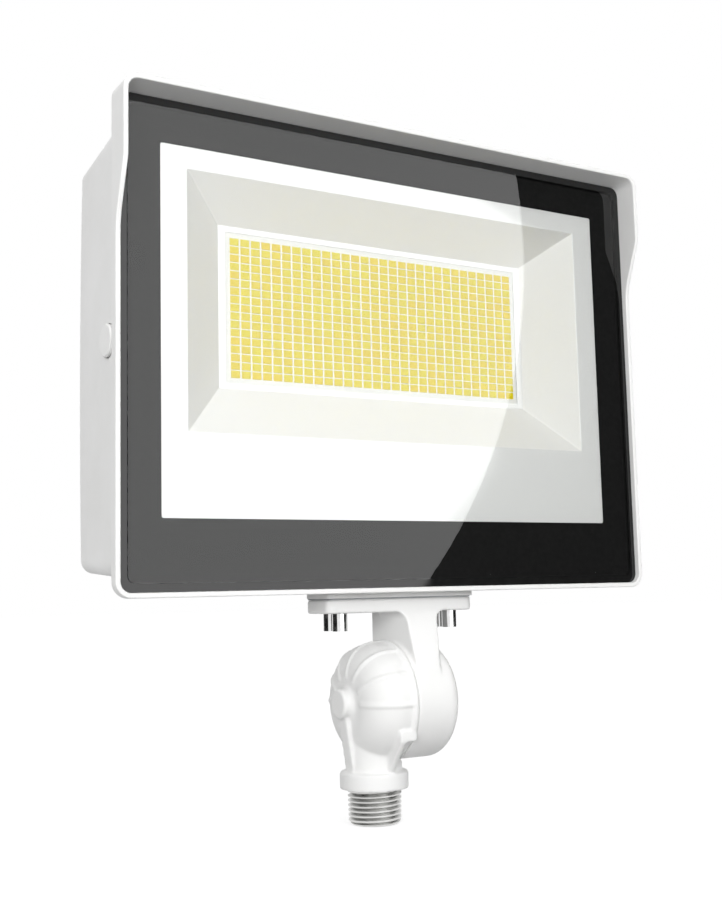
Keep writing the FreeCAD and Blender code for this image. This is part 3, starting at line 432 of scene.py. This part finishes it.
def merged_copy(node: bpy.types.Object) -> bmesh.types.BMesh:
    """Copy a node's loose triangles and join them into closed shells of flat faces.

    Args:
        node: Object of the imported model.

    Returns:
        The joined copy.
    """
    work = bmesh.new()
    work.from_mesh(node.data)
    bmesh.ops.remove_doubles(work, verts=work.verts, dist=WELD)
    bmesh.ops.dissolve_limit(work, angle_limit=FLAT_TURN, verts=work.verts, edges=work.edges)
    return work


def round_edges(work: bmesh.types.BMesh, width: float, segments: int, wanted: EdgeTest) -> None:
    """Round the sharp outer edges that a test picks.

    Args:
        work: Mesh to change.
        width: Width of the rounding.
        segments: Steps of the rounding.
        wanted: Test for an edge.
    """
    edges = [
        edge
        for edge in work.edges
        if edge.is_convex and edge.calc_face_angle(0.0) > SHARP_TURN and wanted(edge)
    ]
    bmesh.ops.bevel(
        work,
        geom=edges,
        offset=width,
        offset_type="OFFSET",
        segments=segments,
        profile=0.5,
        affect="EDGES",
        clamp_overlap=True,
        material=-1,
    )


def shade(work: bmesh.types.BMesh, crease: Crease) -> None:
    """Shade a mesh smoothly up to a crease angle.

    Args:
        work: Mesh to change.
        crease: Angle past which an edge stays sharp.
    """
    limit = math.radians(crease.value)
    for face in work.faces:
        face.smooth = True
    for edge in work.edges:
        edge.smooth = edge.calc_face_angle(0.0) < limit


def make_piece(
    name: str,
    work: bmesh.types.BMesh,
    finishes: list[bpy.types.Material],
    body: Body,
    node: str,
) -> bpy.types.Object:
    """Turn a mesh into a piece that stands for a node.

    Args:
        name: Name of the piece.
        work: Its mesh, which is used up.
        finishes: Its materials, in the order of the faces' indices.
        body: Body that it moves with.
        node: Node that it replaces.

    Returns:
        The piece.
    """
    mesh = bpy.data.meshes.new(name)
    work.to_mesh(mesh)
    work.free()
    for finish in finishes:
        mesh.materials.append(finish)
    piece = bpy.data.objects.new(name, mesh)
    bpy.context.scene.collection.objects.link(piece)
    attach(piece, body.value)
    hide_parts(node)
    LOG.info("made %s with %d faces", name, len(mesh.polygons))
    return piece


def keep_flats(piece: bpy.types.Object) -> None:
    """Let the large faces of a piece set the normals, so that they shade flat."""
    weight = piece.modifiers.new("flat_faces", "WEIGHTED_NORMAL")
    weight.keep_sharp = True


@dataclass
class LightSource:
    """Field of light-emitting chips on the white board."""

    columns: int = 30
    rows: int = 17
    pitch: tuple[float, float] = (0.00452, 0.00324)
    chip: tuple[float, float] = (0.0035, 0.0028)
    overhang: float = 0.00011
    cap: float = 0.0003
    edge: float = 0.00012
    cell_depth: float = 1.0
    cell_ahead: float = 0.1
    front_share: float = 0.9

    def corner(self) -> Vector:
        """Give the corner where the first chip's cell starts.

        Returns:
            The corner.
        """
        low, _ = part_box("led_chips")
        gap = [(step - size) / 2.0 for step, size in zip(self.pitch, self.chip)]
        return Vector((low[0] - gap[0], low[1] - self.cell_ahead, low[2] - gap[1]))

    def cell(self) -> Vector:
        """Give the size of one chip's cell."""
        return Vector((self.pitch[0], self.cell_depth, self.pitch[1]))

    def build(self, phosphor: bpy.types.Material) -> None:
        """Set out the chips as low caps with rounded edges.

        Args:
            phosphor: Finish of the chips.
        """
        low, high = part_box("led_chips")
        work = bmesh.new()
        width = self.chip[0] + 2.0 * self.overhang
        size = Matrix.Diagonal((width, self.cap, self.chip[1], 1.0))
        for column in range(self.columns):
            for row in range(self.rows):
                place = Vector((
                    low[0] + self.chip[0] / 2.0 + column * self.pitch[0],
                    high[1] - self.cap / 2.0,
                    low[2] + self.chip[1] / 2.0 + row * self.pitch[1],
                ))
                bmesh.ops.create_cube(work, size=1.0, matrix=Matrix.Translation(place) @ size)
        front = high[1] - self.cap * self.front_share
        round_edges(work, self.edge, PLAIN_STEPS, lambda edge: edge_middle(edge).y < front)
        shade(work, Crease.SHEET)
        keep_flats(make_piece("phosphor_caps", work, [phosphor], Body.HEAD, "led_chips"))


@dataclass
class ReflectorSheet:
    """Folded white sheet: a flat panel, four sloped walls and a floor with a window."""

    sheet: float = 0.0004
    rim_side: float = 0.0113
    rim_top: float = 0.0091
    rim_bottom: float = 0.0319
    slope_side: float = 0.01885
    slope_top: float = 0.0144
    slope_bottom: float = 0.0193
    window_margin: float = 0.0022
    fold: float = 0.0003
    fold_turn: float = 5.0

    def build(self, lacquer: bpy.types.Material, paint: bpy.types.Material) -> None:
        """Fold the sheet.

        Args:
            lacquer: Finish of the flat panel.
            paint: Finish of the recess.
        """
        low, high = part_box("reflector_tray")
        chips_low, chips_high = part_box("led_chips")
        floor = high[1] - self.sheet
        outside = (low[0], high[0], low[2], high[2])
        mouth = (
            outside[0] + self.rim_side,
            outside[1] - self.rim_side,
            outside[2] + self.rim_bottom,
            outside[3] - self.rim_top,
        )
        foot = (
            mouth[0] + self.slope_side,
            mouth[1] - self.slope_side,
            mouth[2] + self.slope_bottom,
            mouth[3] - self.slope_top,
        )
        window = (
            chips_low[0] - self.window_margin,
            chips_high[0] + self.window_margin,
            chips_low[2] - self.window_margin,
            chips_high[2] + self.window_margin,
        )
        work = bmesh.new()
        inner = work.faces.new(self.corners(work, outside, low[1]))
        for step, (sides, depth) in enumerate(((mouth, low[1]), (foot, floor), (window, floor))):
            made = bmesh.ops.inset_individual(work, faces=[inner], thickness=self.sheet)
            for face in made["faces"]:
                face.material_index = step % 2
            self.reshape(inner, sides, depth)
        bmesh.ops.delete(work, geom=[inner], context="FACES_ONLY")
        turn = math.radians(self.fold_turn)
        folds = [edge for edge in work.edges if edge.calc_face_angle(0.0) > turn]
        bmesh.ops.bevel(
            work,
            geom=folds,
            offset=self.fold,
            segments=FINE_STEPS,
            profile=0.5,
            affect="EDGES",
            clamp_overlap=True,
            material=-1,
        )
        shade(work, Crease.SHEET)
        piece = make_piece(
            "reflector_sheet", work, [lacquer, paint], Body.HEAD, "reflector_tray"
        )
        wall = piece.modifiers.new("sheet", "SOLIDIFY")
        wall.thickness = self.sheet
        wall.offset = -1.0
        keep_flats(piece)

    @staticmethod
    def corners(
        work: bmesh.types.BMesh, sides: Sides, depth: float
    ) -> list[bmesh.types.BMVert]:
        """Set the four corners of an upright rectangle that faces the front.

        Args:
            work: Mesh to add to.
            sides: Left, right, bottom and top.
            depth: Place along Y.

        Returns:
            The corners.
        """
        left, right, bottom, top = sides
        order = ((left, bottom), (right, bottom), (right, top), (left, top))
        return [work.verts.new((x, depth, z)) for x, z in order]

    @staticmethod
    def reshape(face: bmesh.types.BMFace, sides: Sides, depth: float) -> None:
        """Move the corners of an upright rectangle.

        Args:
            face: Rectangle to change.
            sides: New left, right, bottom and top.
            depth: New place along Y.
        """
        left, right, bottom, top = sides
        middle = face.calc_center_median()
        for vert in face.verts:
            across = left if vert.co.x < middle.x else right
            height = bottom if vert.co.z < middle.z else top
            vert.co = (across, depth, height)


@dataclass
class FrontGlass:
    """Clear pane with a blackened edge."""

    edge_round: float = 0.0006
    flat: float = 0.99

    def build(
        self, nodes: Nodes, glass: bpy.types.Material, rim: bpy.types.Material
    ) -> None:
        """Polish the pane, round the back of its edge and blacken it.

        Args:
            nodes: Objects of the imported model.
            glass: Finish of the two faces.
            rim: Finish of the edge.
        """
        pane = merged_copy(nodes["front_glass"])
        low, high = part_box("front_glass")
        back = (low[1] + high[1]) / 2.0 + self.edge_round
        round_edges(pane, self.edge_round, PLAIN_STEPS, lambda edge: edge_middle(edge).y > back)
        for face in pane.faces:
            face.material_index = 0 if abs(face.normal.y) > self.flat else 1
        shade(pane, Crease.PANE)
        piece = make_piece("glass_pane", pane, [glass, rim], Body.HEAD, "front_glass")
        piece.visible_shadow = False
        keep_flats(piece)


@dataclass
class Housing:
    """Front frame with its hood, finned rear housing and the plug in its side."""

    rim_round: float = 0.0005
    flange_back: float = 0.003
    fin_round: float = 0.0006
    fin_edge: float = 0.003
    plug_round: float = 0.0006

    def build(
        self, nodes: Nodes, coat: bpy.types.Material, plug: bpy.types.Material
    ) -> None:
        """Soften the castings' edges and dress them.

        Args:
            nodes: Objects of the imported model.
            coat: Finish of the castings.
            plug: Finish of the plug.
        """
        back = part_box("front_frame")[1][1] - self.flange_back
        frame = merged_copy(nodes["front_frame"])
        round_edges(frame, self.rim_round, FINE_STEPS, lambda edge: edge_middle(edge).y < back)
        shade(frame, Crease.CAST)
        keep_flats(make_piece("hooded_frame", frame, [coat], Body.HEAD, "front_frame"))
        shell = merged_copy(nodes["rear_housing"])
        round_edges(shell, self.fin_round, PLAIN_STEPS, lambda edge: edge.calc_length() > self.fin_edge)
        shade(shell, Crease.CAST)
        keep_flats(make_piece("finned_shell", shell, [coat], Body.HEAD, "rear_housing"))
        disc = merged_copy(nodes["side_plug"])
        round_edges(disc, self.plug_round, FINE_STEPS, lambda edge: True)
        shade(disc, Crease.CAST)
        keep_flats(make_piece("raised_plug", disc, [plug], Body.HEAD, "side_plug"))


@dataclass
class Knuckle:
    """The two cast halves of the tilt knuckle and the screws of its plate."""

    grain: float = 0.0005
    rounds: int = 4
    pull: float = 0.5
    screw_round: float = 0.0003

    def build(
        self, nodes: Nodes, coat: bpy.types.Material, chrome: bpy.types.Material
    ) -> None:
        """Cast both halves with soft edges and polish the screws.

        Args:
            nodes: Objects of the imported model.
            coat: Finish of the castings.
            chrome: Finish of the screws.
        """
        lower = self.cast(merged_copy(nodes["lower_knuckle"]))
        make_piece("ribbed_dome", lower, [coat], Body.ROOT, "lower_knuckle")
        upper = self.cast(merged_copy(nodes["upper_knuckle"]))
        make_piece("plate_and_drum", upper, [coat], Body.HEAD, "upper_knuckle")
        screws = merged_copy(nodes["plate_screws"])
        round_edges(screws, self.screw_round, FINE_STEPS, lambda edge: True)
        shade(screws, Crease.CAST)
        heads = make_piece("bright_screws", screws, [chrome], Body.HEAD, "plate_screws")
        keep_flats(heads)

    def cast(self, work: bmesh.types.BMesh) -> bmesh.types.BMesh:
        """Cover a shape with an even skin and soften it as a casting is.

        Args:
            work: Sharp shape, which is used up.

        Returns:
            The softened shape.
        """
        mesh = bpy.data.meshes.new("pattern")
        work.to_mesh(mesh)
        work.free()
        pattern = bpy.data.objects.new("pattern", mesh)
        bpy.context.scene.collection.objects.link(pattern)
        skin = pattern.modifiers.new("skin", "REMESH")
        skin.mode = "VOXEL"
        skin.voxel_size = self.grain
        ready = pattern.evaluated_get(bpy.context.evaluated_depsgraph_get())
        soft = bmesh.new()
        soft.from_mesh(ready.to_mesh())
        ready.to_mesh_clear()
        bpy.data.objects.remove(pattern)
        bpy.data.meshes.remove(mesh)
        for _ in range(self.rounds):
            bmesh.ops.smooth_vert(
                soft,
                verts=soft.verts,
                factor=self.pull,
                use_axis_x=True,
                use_axis_y=True,
                use_axis_z=True,
            )
        shade(soft, Crease.NONE)
        return soft


@dataclass
class Stage:
    """Floor, light and camera."""

    floor_level: float = -0.0135
    floor_reach: float = 6.0
    floor_grey: float = 0.36
    floor_glow: float = 0.8
    floor_steps: int = 96
    eye: Point = (-0.25387, -0.41851, 0.07618)
    eye_turn: Point = (96.65556, 1.31956, -30.83231)
    focal_pixels: float = 1217.09
    picture_height: float = 900.0
    sensor: float = 36.0
    disc_place: Point = (0.145, -1.292, 0.515)
    disc_aim: Point = (-0.387, 0.891, -0.237)
    disc_radius: float = 0.769
    disc_watts: float = 9.5
    disc_glow: float = 2.45
    disc_steps: int = 128
    key_place: Point = (-0.85, -0.95, 0.3)
    key_target: Point = (0.0, 0.0, 0.15)
    key_size: float = 0.5
    key_spread: float = 60.0
    key_watts: float = 1.3
    sky_low: float = 0.2
    sky_high: float = 0.87
    flag_low: Point = (0.25, -1.6, 0.0)
    flag_high: Point = (1.9, -1.6, 1.2)
    card_low: Point = (-0.8, -0.35, 0.0)
    card_high: Point = (-0.8, 1.5, 0.4)
    wing_low: Point = (1.0, -0.9, 0.0)
    wing_high: Point = (1.0, 0.5, 0.4)
    nearest: float = 0.01

    def build(self) -> None:
        """Make the floor, the lamps, the world and the camera."""
        self.make_floor()
        self.make_world()
        self.make_disc()
        self.make_key()
        cloth = ClothFinish().make()
        self.make_card("black_flag", self.flag_low, self.flag_high, cloth)
        for name, low, high in (
            ("left_card", self.card_low, self.card_high),
            ("right_card", self.wing_low, self.wing_high),
        ):
            card = self.make_card(name, low, high, cloth)
            card.visible_diffuse = False
            card.visible_shadow = False
        self.make_camera()

    def make_floor(self) -> None:
        """Lay a pale round floor under the object."""
        work = bmesh.new()
        bmesh.ops.create_circle(work, cap_ends=True, segments=self.floor_steps, radius=self.floor_reach)
        bmesh.ops.translate(work, vec=(0.0, 0.0, self.floor_level), verts=work.verts)
        self.add_prop("floor", work, self.floor_material())

    @staticmethod
    def add_prop(name: str, work: bmesh.types.BMesh, finish: bpy.types.Material) -> bpy.types.Object:
        """Turn a mesh into a prop of the stage.

        Args:
            name: Name of the prop.
            work: Its mesh, which is used up.
            finish: Its material.

        Returns:
            The prop.
        """
        mesh = bpy.data.meshes.new(name)
        work.to_mesh(mesh)
        work.free()
        mesh.materials.append(finish)
        prop = bpy.data.objects.new(name, mesh)
        bpy.context.scene.collection.objects.link(prop)
        return prop

    def floor_material(self) -> bpy.types.Material:
        """Build a matt floor that the camera sees as near white, shadows kept.

        Returns:
            The material.
        """
        material = bpy.data.materials.new("pale_floor")
        material.use_nodes = True
        tree = material.node_tree
        tree.nodes.clear()
        matt = tree.nodes.new("ShaderNodeBsdfDiffuse")
        matt.inputs["Color"].default_value = (self.floor_grey, self.floor_grey, self.floor_grey, 1.0)
        both = tree.nodes.new("ShaderNodeAddShader")
        tree.links.new(matt.outputs[0], both.inputs[0])
        tree.links.new(self.glow(tree, self.floor_glow), both.inputs[1])
        output = tree.nodes.new("ShaderNodeOutputMaterial")
        tree.links.new(both.outputs[0], output.inputs["Surface"])
        return material

    def make_world(self) -> None:
        """Surround the object with soft light, white to the camera and brighter above."""
        world = bpy.data.worlds.new("studio")
        bpy.context.scene.world = world
        world.use_nodes = True
        tree = world.node_tree
        tree.nodes.clear()
        direction = tree.nodes.new("ShaderNodeTexCoord")
        parts = tree.nodes.new("ShaderNodeSeparateXYZ")
        tree.links.new(direction.outputs["Generated"], parts.inputs[0])
        level = tree.nodes.new("ShaderNodeMapRange")
        level.inputs["To Min"].default_value = self.sky_low
        level.inputs["To Max"].default_value = self.sky_high
        tree.links.new(parts.outputs["Z"], level.inputs["Value"])
        soft = tree.nodes.new("ShaderNodeBackground")
        tree.links.new(level.outputs["Result"], soft.inputs["Strength"])
        white = tree.nodes.new("ShaderNodeBackground")
        for light in (soft, white):
            light.inputs["Color"].default_value = (1.0, 1.0, 1.0, 1.0)
        choice = tree.nodes.new("ShaderNodeMixShader")
        tree.links.new(self.seen_directly(tree), choice.inputs[0])
        tree.links.new(soft.outputs[0], choice.inputs[1])
        tree.links.new(white.outputs[0], choice.inputs[2])
        output = tree.nodes.new("ShaderNodeOutputWorld")
        tree.links.new(choice.outputs[0], output.inputs["Surface"])

    @staticmethod
    def seen_directly(tree: bpy.types.NodeTree) -> bpy.types.NodeSocket:
        """Tell rays that show the background from rays that only light the object.

        Args:
            tree: Node tree to add the nodes to.

        Returns:
            A socket that is 1 for camera, glossy and transmission rays that met no matt surface
            on their way, and 0 otherwise.
        """
        path = tree.nodes.new("ShaderNodeLightPath")
        total = path.outputs["Is Camera Ray"]
        for word in ("Is Glossy Ray", "Is Transmission Ray"):
            larger = tree.nodes.new("ShaderNodeMath")
            larger.operation = "MAXIMUM"
            tree.links.new(total, larger.inputs[0])
            tree.links.new(path.outputs[word], larger.inputs[1])
            total = larger.outputs[0]
        straight = tree.nodes.new("ShaderNodeMath")
        straight.operation = "LESS_THAN"
        straight.inputs[1].default_value = HALF_BOUNCE
        tree.links.new(path.outputs["Diffuse Depth"], straight.inputs[0])
        both = tree.nodes.new("ShaderNodeMath")
        both.operation = "MULTIPLY"
        tree.links.new(total, both.inputs[0])
        tree.links.new(straight.outputs[0], both.inputs[1])
        return both.outputs[0]

    def glow(self, tree: bpy.types.NodeTree, level: float) -> bpy.types.NodeSocket:
        """Add a glow that shows directly or in mirrors but lights nothing.

        Args:
            tree: Node tree to add the nodes to.
            level: Strength of the glow.

        Returns:
            The socket of the glow.
        """
        light = tree.nodes.new("ShaderNodeEmission")
        strength = tree.nodes.new("ShaderNodeMath")
        strength.operation = "MULTIPLY"
        strength.inputs[1].default_value = level
        tree.links.new(self.seen_directly(tree), strength.inputs[0])
        tree.links.new(strength.outputs[0], light.inputs["Strength"])
        return light.outputs[0]

    def make_disc(self) -> None:
        """Hang a large round softbox in front, as a lamp and as the face that mirrors show."""
        light = bpy.data.lights.new("softbox", "AREA")
        light.shape = "DISK"
        light.size = 2.0 * self.disc_radius
        light.energy = self.disc_watts
        lamp = bpy.data.objects.new("softbox", light)
        lamp.location = self.disc_place
        turn = Vector(self.disc_aim).to_track_quat("-Z", "Y")
        lamp.rotation_euler = turn.to_euler()
        self.light_matt_only(lamp)
        work = bmesh.new()
        bmesh.ops.create_circle(work, cap_ends=True, segments=self.disc_steps, radius=self.disc_radius)
        place = Matrix.Translation(self.disc_place) @ turn.to_matrix().to_4x4()
        bmesh.ops.transform(work, matrix=place, verts=work.verts)
        face = self.add_prop("softbox_face", work, self.glow_material())
        face.visible_camera = False
        face.visible_diffuse = False
        face.visible_shadow = False

    def glow_material(self) -> bpy.types.Material:
        """Build the softbox's bright cloth, which only mirrors show.

        Returns:
            The material.
        """
        material = bpy.data.materials.new("bright_cloth")
        material.use_nodes = True
        material.cycles.emission_sampling = "NONE"
        tree = material.node_tree
        tree.nodes.clear()
        output = tree.nodes.new("ShaderNodeOutputMaterial")
        tree.links.new(self.glow(tree, self.disc_glow), output.inputs["Surface"])
        return material

    @staticmethod
    def light_matt_only(lamp: bpy.types.Object) -> None:
        """Link a lamp that no mirror and no glass shows.

        Args:
            lamp: Lamp to hide from them.
        """
        lamp.data.cycles.use_multiple_importance_sampling = False
        lamp.visible_glossy = False
        lamp.visible_transmission = False
        bpy.context.scene.collection.objects.link(lamp)

    def make_key(self) -> None:
        """Set a square soft lamp to the left and aim it."""
        light = bpy.data.lights.new("left_key", "AREA")
        light.shape = "SQUARE"
        light.size = self.key_size
        light.energy = self.key_watts
        light.spread = math.radians(self.key_spread)
        lamp = bpy.data.objects.new("left_key", light)
        lamp.location = self.key_place
        aim = Vector(self.key_target) - Vector(self.key_place)
        lamp.rotation_euler = aim.to_track_quat("-Z", "Y").to_euler()
        self.light_matt_only(lamp)

    def make_card(
        self, name: str, low: Point, high: Point, cloth: bpy.types.Material
    ) -> bpy.types.Object:
        """Stand a black card out of view, the dark side that glass and metal mirror.

        Args:
            name: Name of the card.
            low: Its lowest corner.
            high: Its highest corner, level with the first along X or along Y.
            cloth: Its finish.

        Returns:
            The card.
        """
        size = Vector(high) - Vector(low)
        flat = "Y" if size.x < size.y else "X"
        work = bmesh.new()
        bmesh.ops.create_grid(work, x_segments=1, y_segments=1, size=0.5)
        turn = Matrix.Rotation(math.radians(90.0), 4, flat)
        scale = Matrix.Diagonal((*size, 1.0))
        middle = Matrix.Translation((Vector(low) + Vector(high)) / 2.0)
        bmesh.ops.transform(work, matrix=middle @ scale @ turn, verts=work.verts)
        card = self.add_prop(name, work, cloth)
        card.visible_camera = False
        return card

    def make_camera(self) -> None:
        """Set the camera at the photograph's viewing angle."""
        view = bpy.data.cameras.new("camera")
        view.sensor_width = self.sensor
        view.lens = self.focal_pixels * self.sensor / self.picture_height
        view.clip_start = self.nearest
        camera = bpy.data.objects.new("camera", view)
        camera.location = self.eye
        camera.rotation_euler = [math.radians(angle) for angle in self.eye_turn]
        bpy.context.scene.collection.objects.link(camera)
        bpy.context.scene.camera = camera


def dress(node: bpy.types.Object, material: bpy.types.Material) -> None:
    """Put one material on a whole object.

    Args:
        node: Object to dress.
        material: Its finish.
    """
    node.data.materials.clear()
    node.data.materials.append(material)
    for face in node.data.polygons:
        face.material_index = 0


def make_finishes(source: LightSource) -> dict[str, bpy.types.Material]:
    """Make every finish of the lamp.

    Args:
        source: Field of chips, whose cells the phosphor follows.

    Returns:
        The finishes by the slots of the record, and two more by names of their own.
    """
    even = (600.0, 600.0, 600.0)
    turned = (300.0, 300.0, 2500.0)
    drawn = (40.0, 2500.0, 2500.0)
    return {
        "white_coat": PowderCoat().make(),
        "plug_white": PowderCoat(
            "white_plug", (0.88, 0.88, 0.87), (0.85, 0.85, 0.84), 0.4, 0.5, 1400.0
        ).make(),
        "reflector_white": ReflectorFinish().make(),
        "recess_paint": MouldedFinish(
            "recess_paint", (0.82, 0.814, 0.795), (0.78, 0.774, 0.755), 0.55, 0.65, 1500.0, 0.00002, 0.15
        ).make(),
        "board_white": MouldedFinish(
            "board_mask", (0.8, 0.8, 0.78), (0.76, 0.76, 0.735), 0.3, 0.42, 900.0, 0.00002
        ).make(),
        "connector_white": MouldedFinish(
            "ivory_nylon", (0.76, 0.75, 0.7), (0.72, 0.71, 0.66), 0.35, 0.5, 700.0, 0.00003
        ).make(),
        "black_rubber": MouldedFinish(
            "black_rubber", (0.022, 0.022, 0.022), (0.012, 0.012, 0.012), 0.55, 0.7, 700.0, 0.00005
        ).make(),
        "glossy_bead": MouldedFinish(
            "glossy_bead", (0.012, 0.012, 0.012), (0.008, 0.008, 0.008), 0.02, 0.06, 300.0, 0.000004, 0.5
        ).make(),
        "black_print": MouldedFinish(
            "black_print", (0.016, 0.016, 0.016), (0.013, 0.013, 0.013), 0.8, 0.9, 500.0, 0.000001, 0.0
        ).make(),
        "pad_grey": MouldedFinish(
            "grey_silicone", (0.44, 0.45, 0.47), (0.38, 0.39, 0.41), 0.6, 0.75, 900.0, 0.00004
        ).make(),
        "lead_red": MouldedFinish(
            "red_jacket", (0.46, 0.02, 0.018), (0.38, 0.015, 0.014), 0.35, 0.45, 900.0, 0.00003
        ).make(),
        "thread_metal": MetalFinish(
            "thread_metal", (0.74, 0.74, 0.73), (0.58, 0.58, 0.57), 0.25, 0.4, turned
        ).make(),
        "bright_screw": MetalFinish(
            "bright_chrome", (0.82, 0.82, 0.82), (0.74, 0.74, 0.74), 0.06, 0.14, even
        ).make(),
        "plated_steel": MetalFinish(
            "plated_steel", (0.66, 0.66, 0.67), (0.55, 0.55, 0.56), 0.25, 0.4, even
        ).make(),
        "driver_case": MetalFinish(
            "driver_case", (0.7, 0.7, 0.71), (0.6, 0.6, 0.61), 0.3, 0.45, drawn
        ).make(),
        "ground_brass": MetalFinish(
            "green_dyed_brass", (0.2, 0.42, 0.16), (0.15, 0.34, 0.12), 0.3, 0.4, even
        ).make(),
        "phosphor": PhosphorFinish().make(source.corner(), source.cell()),
        "clear_glass": GlassFinish().make(),
    }


def main() -> None:
    """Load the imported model, dress it and set the stage."""
    logging.basicConfig(level=logging.INFO, format="%(name)s: %(message)s")
    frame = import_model()
    nodes = frame["nodes"]
    source = LightSource()
    finishes = make_finishes(source)
    for entry in frame["record"]["subparts"]:
        dress(nodes[entry["node"]], finishes[entry["material_slot"]])
        LOG.info("dressed %s", entry["node"])
    dress(nodes["glass_seal"], finishes["glossy_bead"])
    source.build(finishes["phosphor"])
    FrontGlass().build(nodes, finishes["clear_glass"], finishes["black_print"])
    ReflectorSheet().build(finishes["reflector_white"], finishes["recess_paint"])
    Housing().build(nodes, finishes["white_coat"], finishes["plug_white"])
    Knuckle().build(nodes, finishes["white_coat"], finishes["bright_screw"])
    Stage().build()
    bpy.context.scene.view_settings.view_transform = "Standard"


if __name__ == "__main__":
    main()
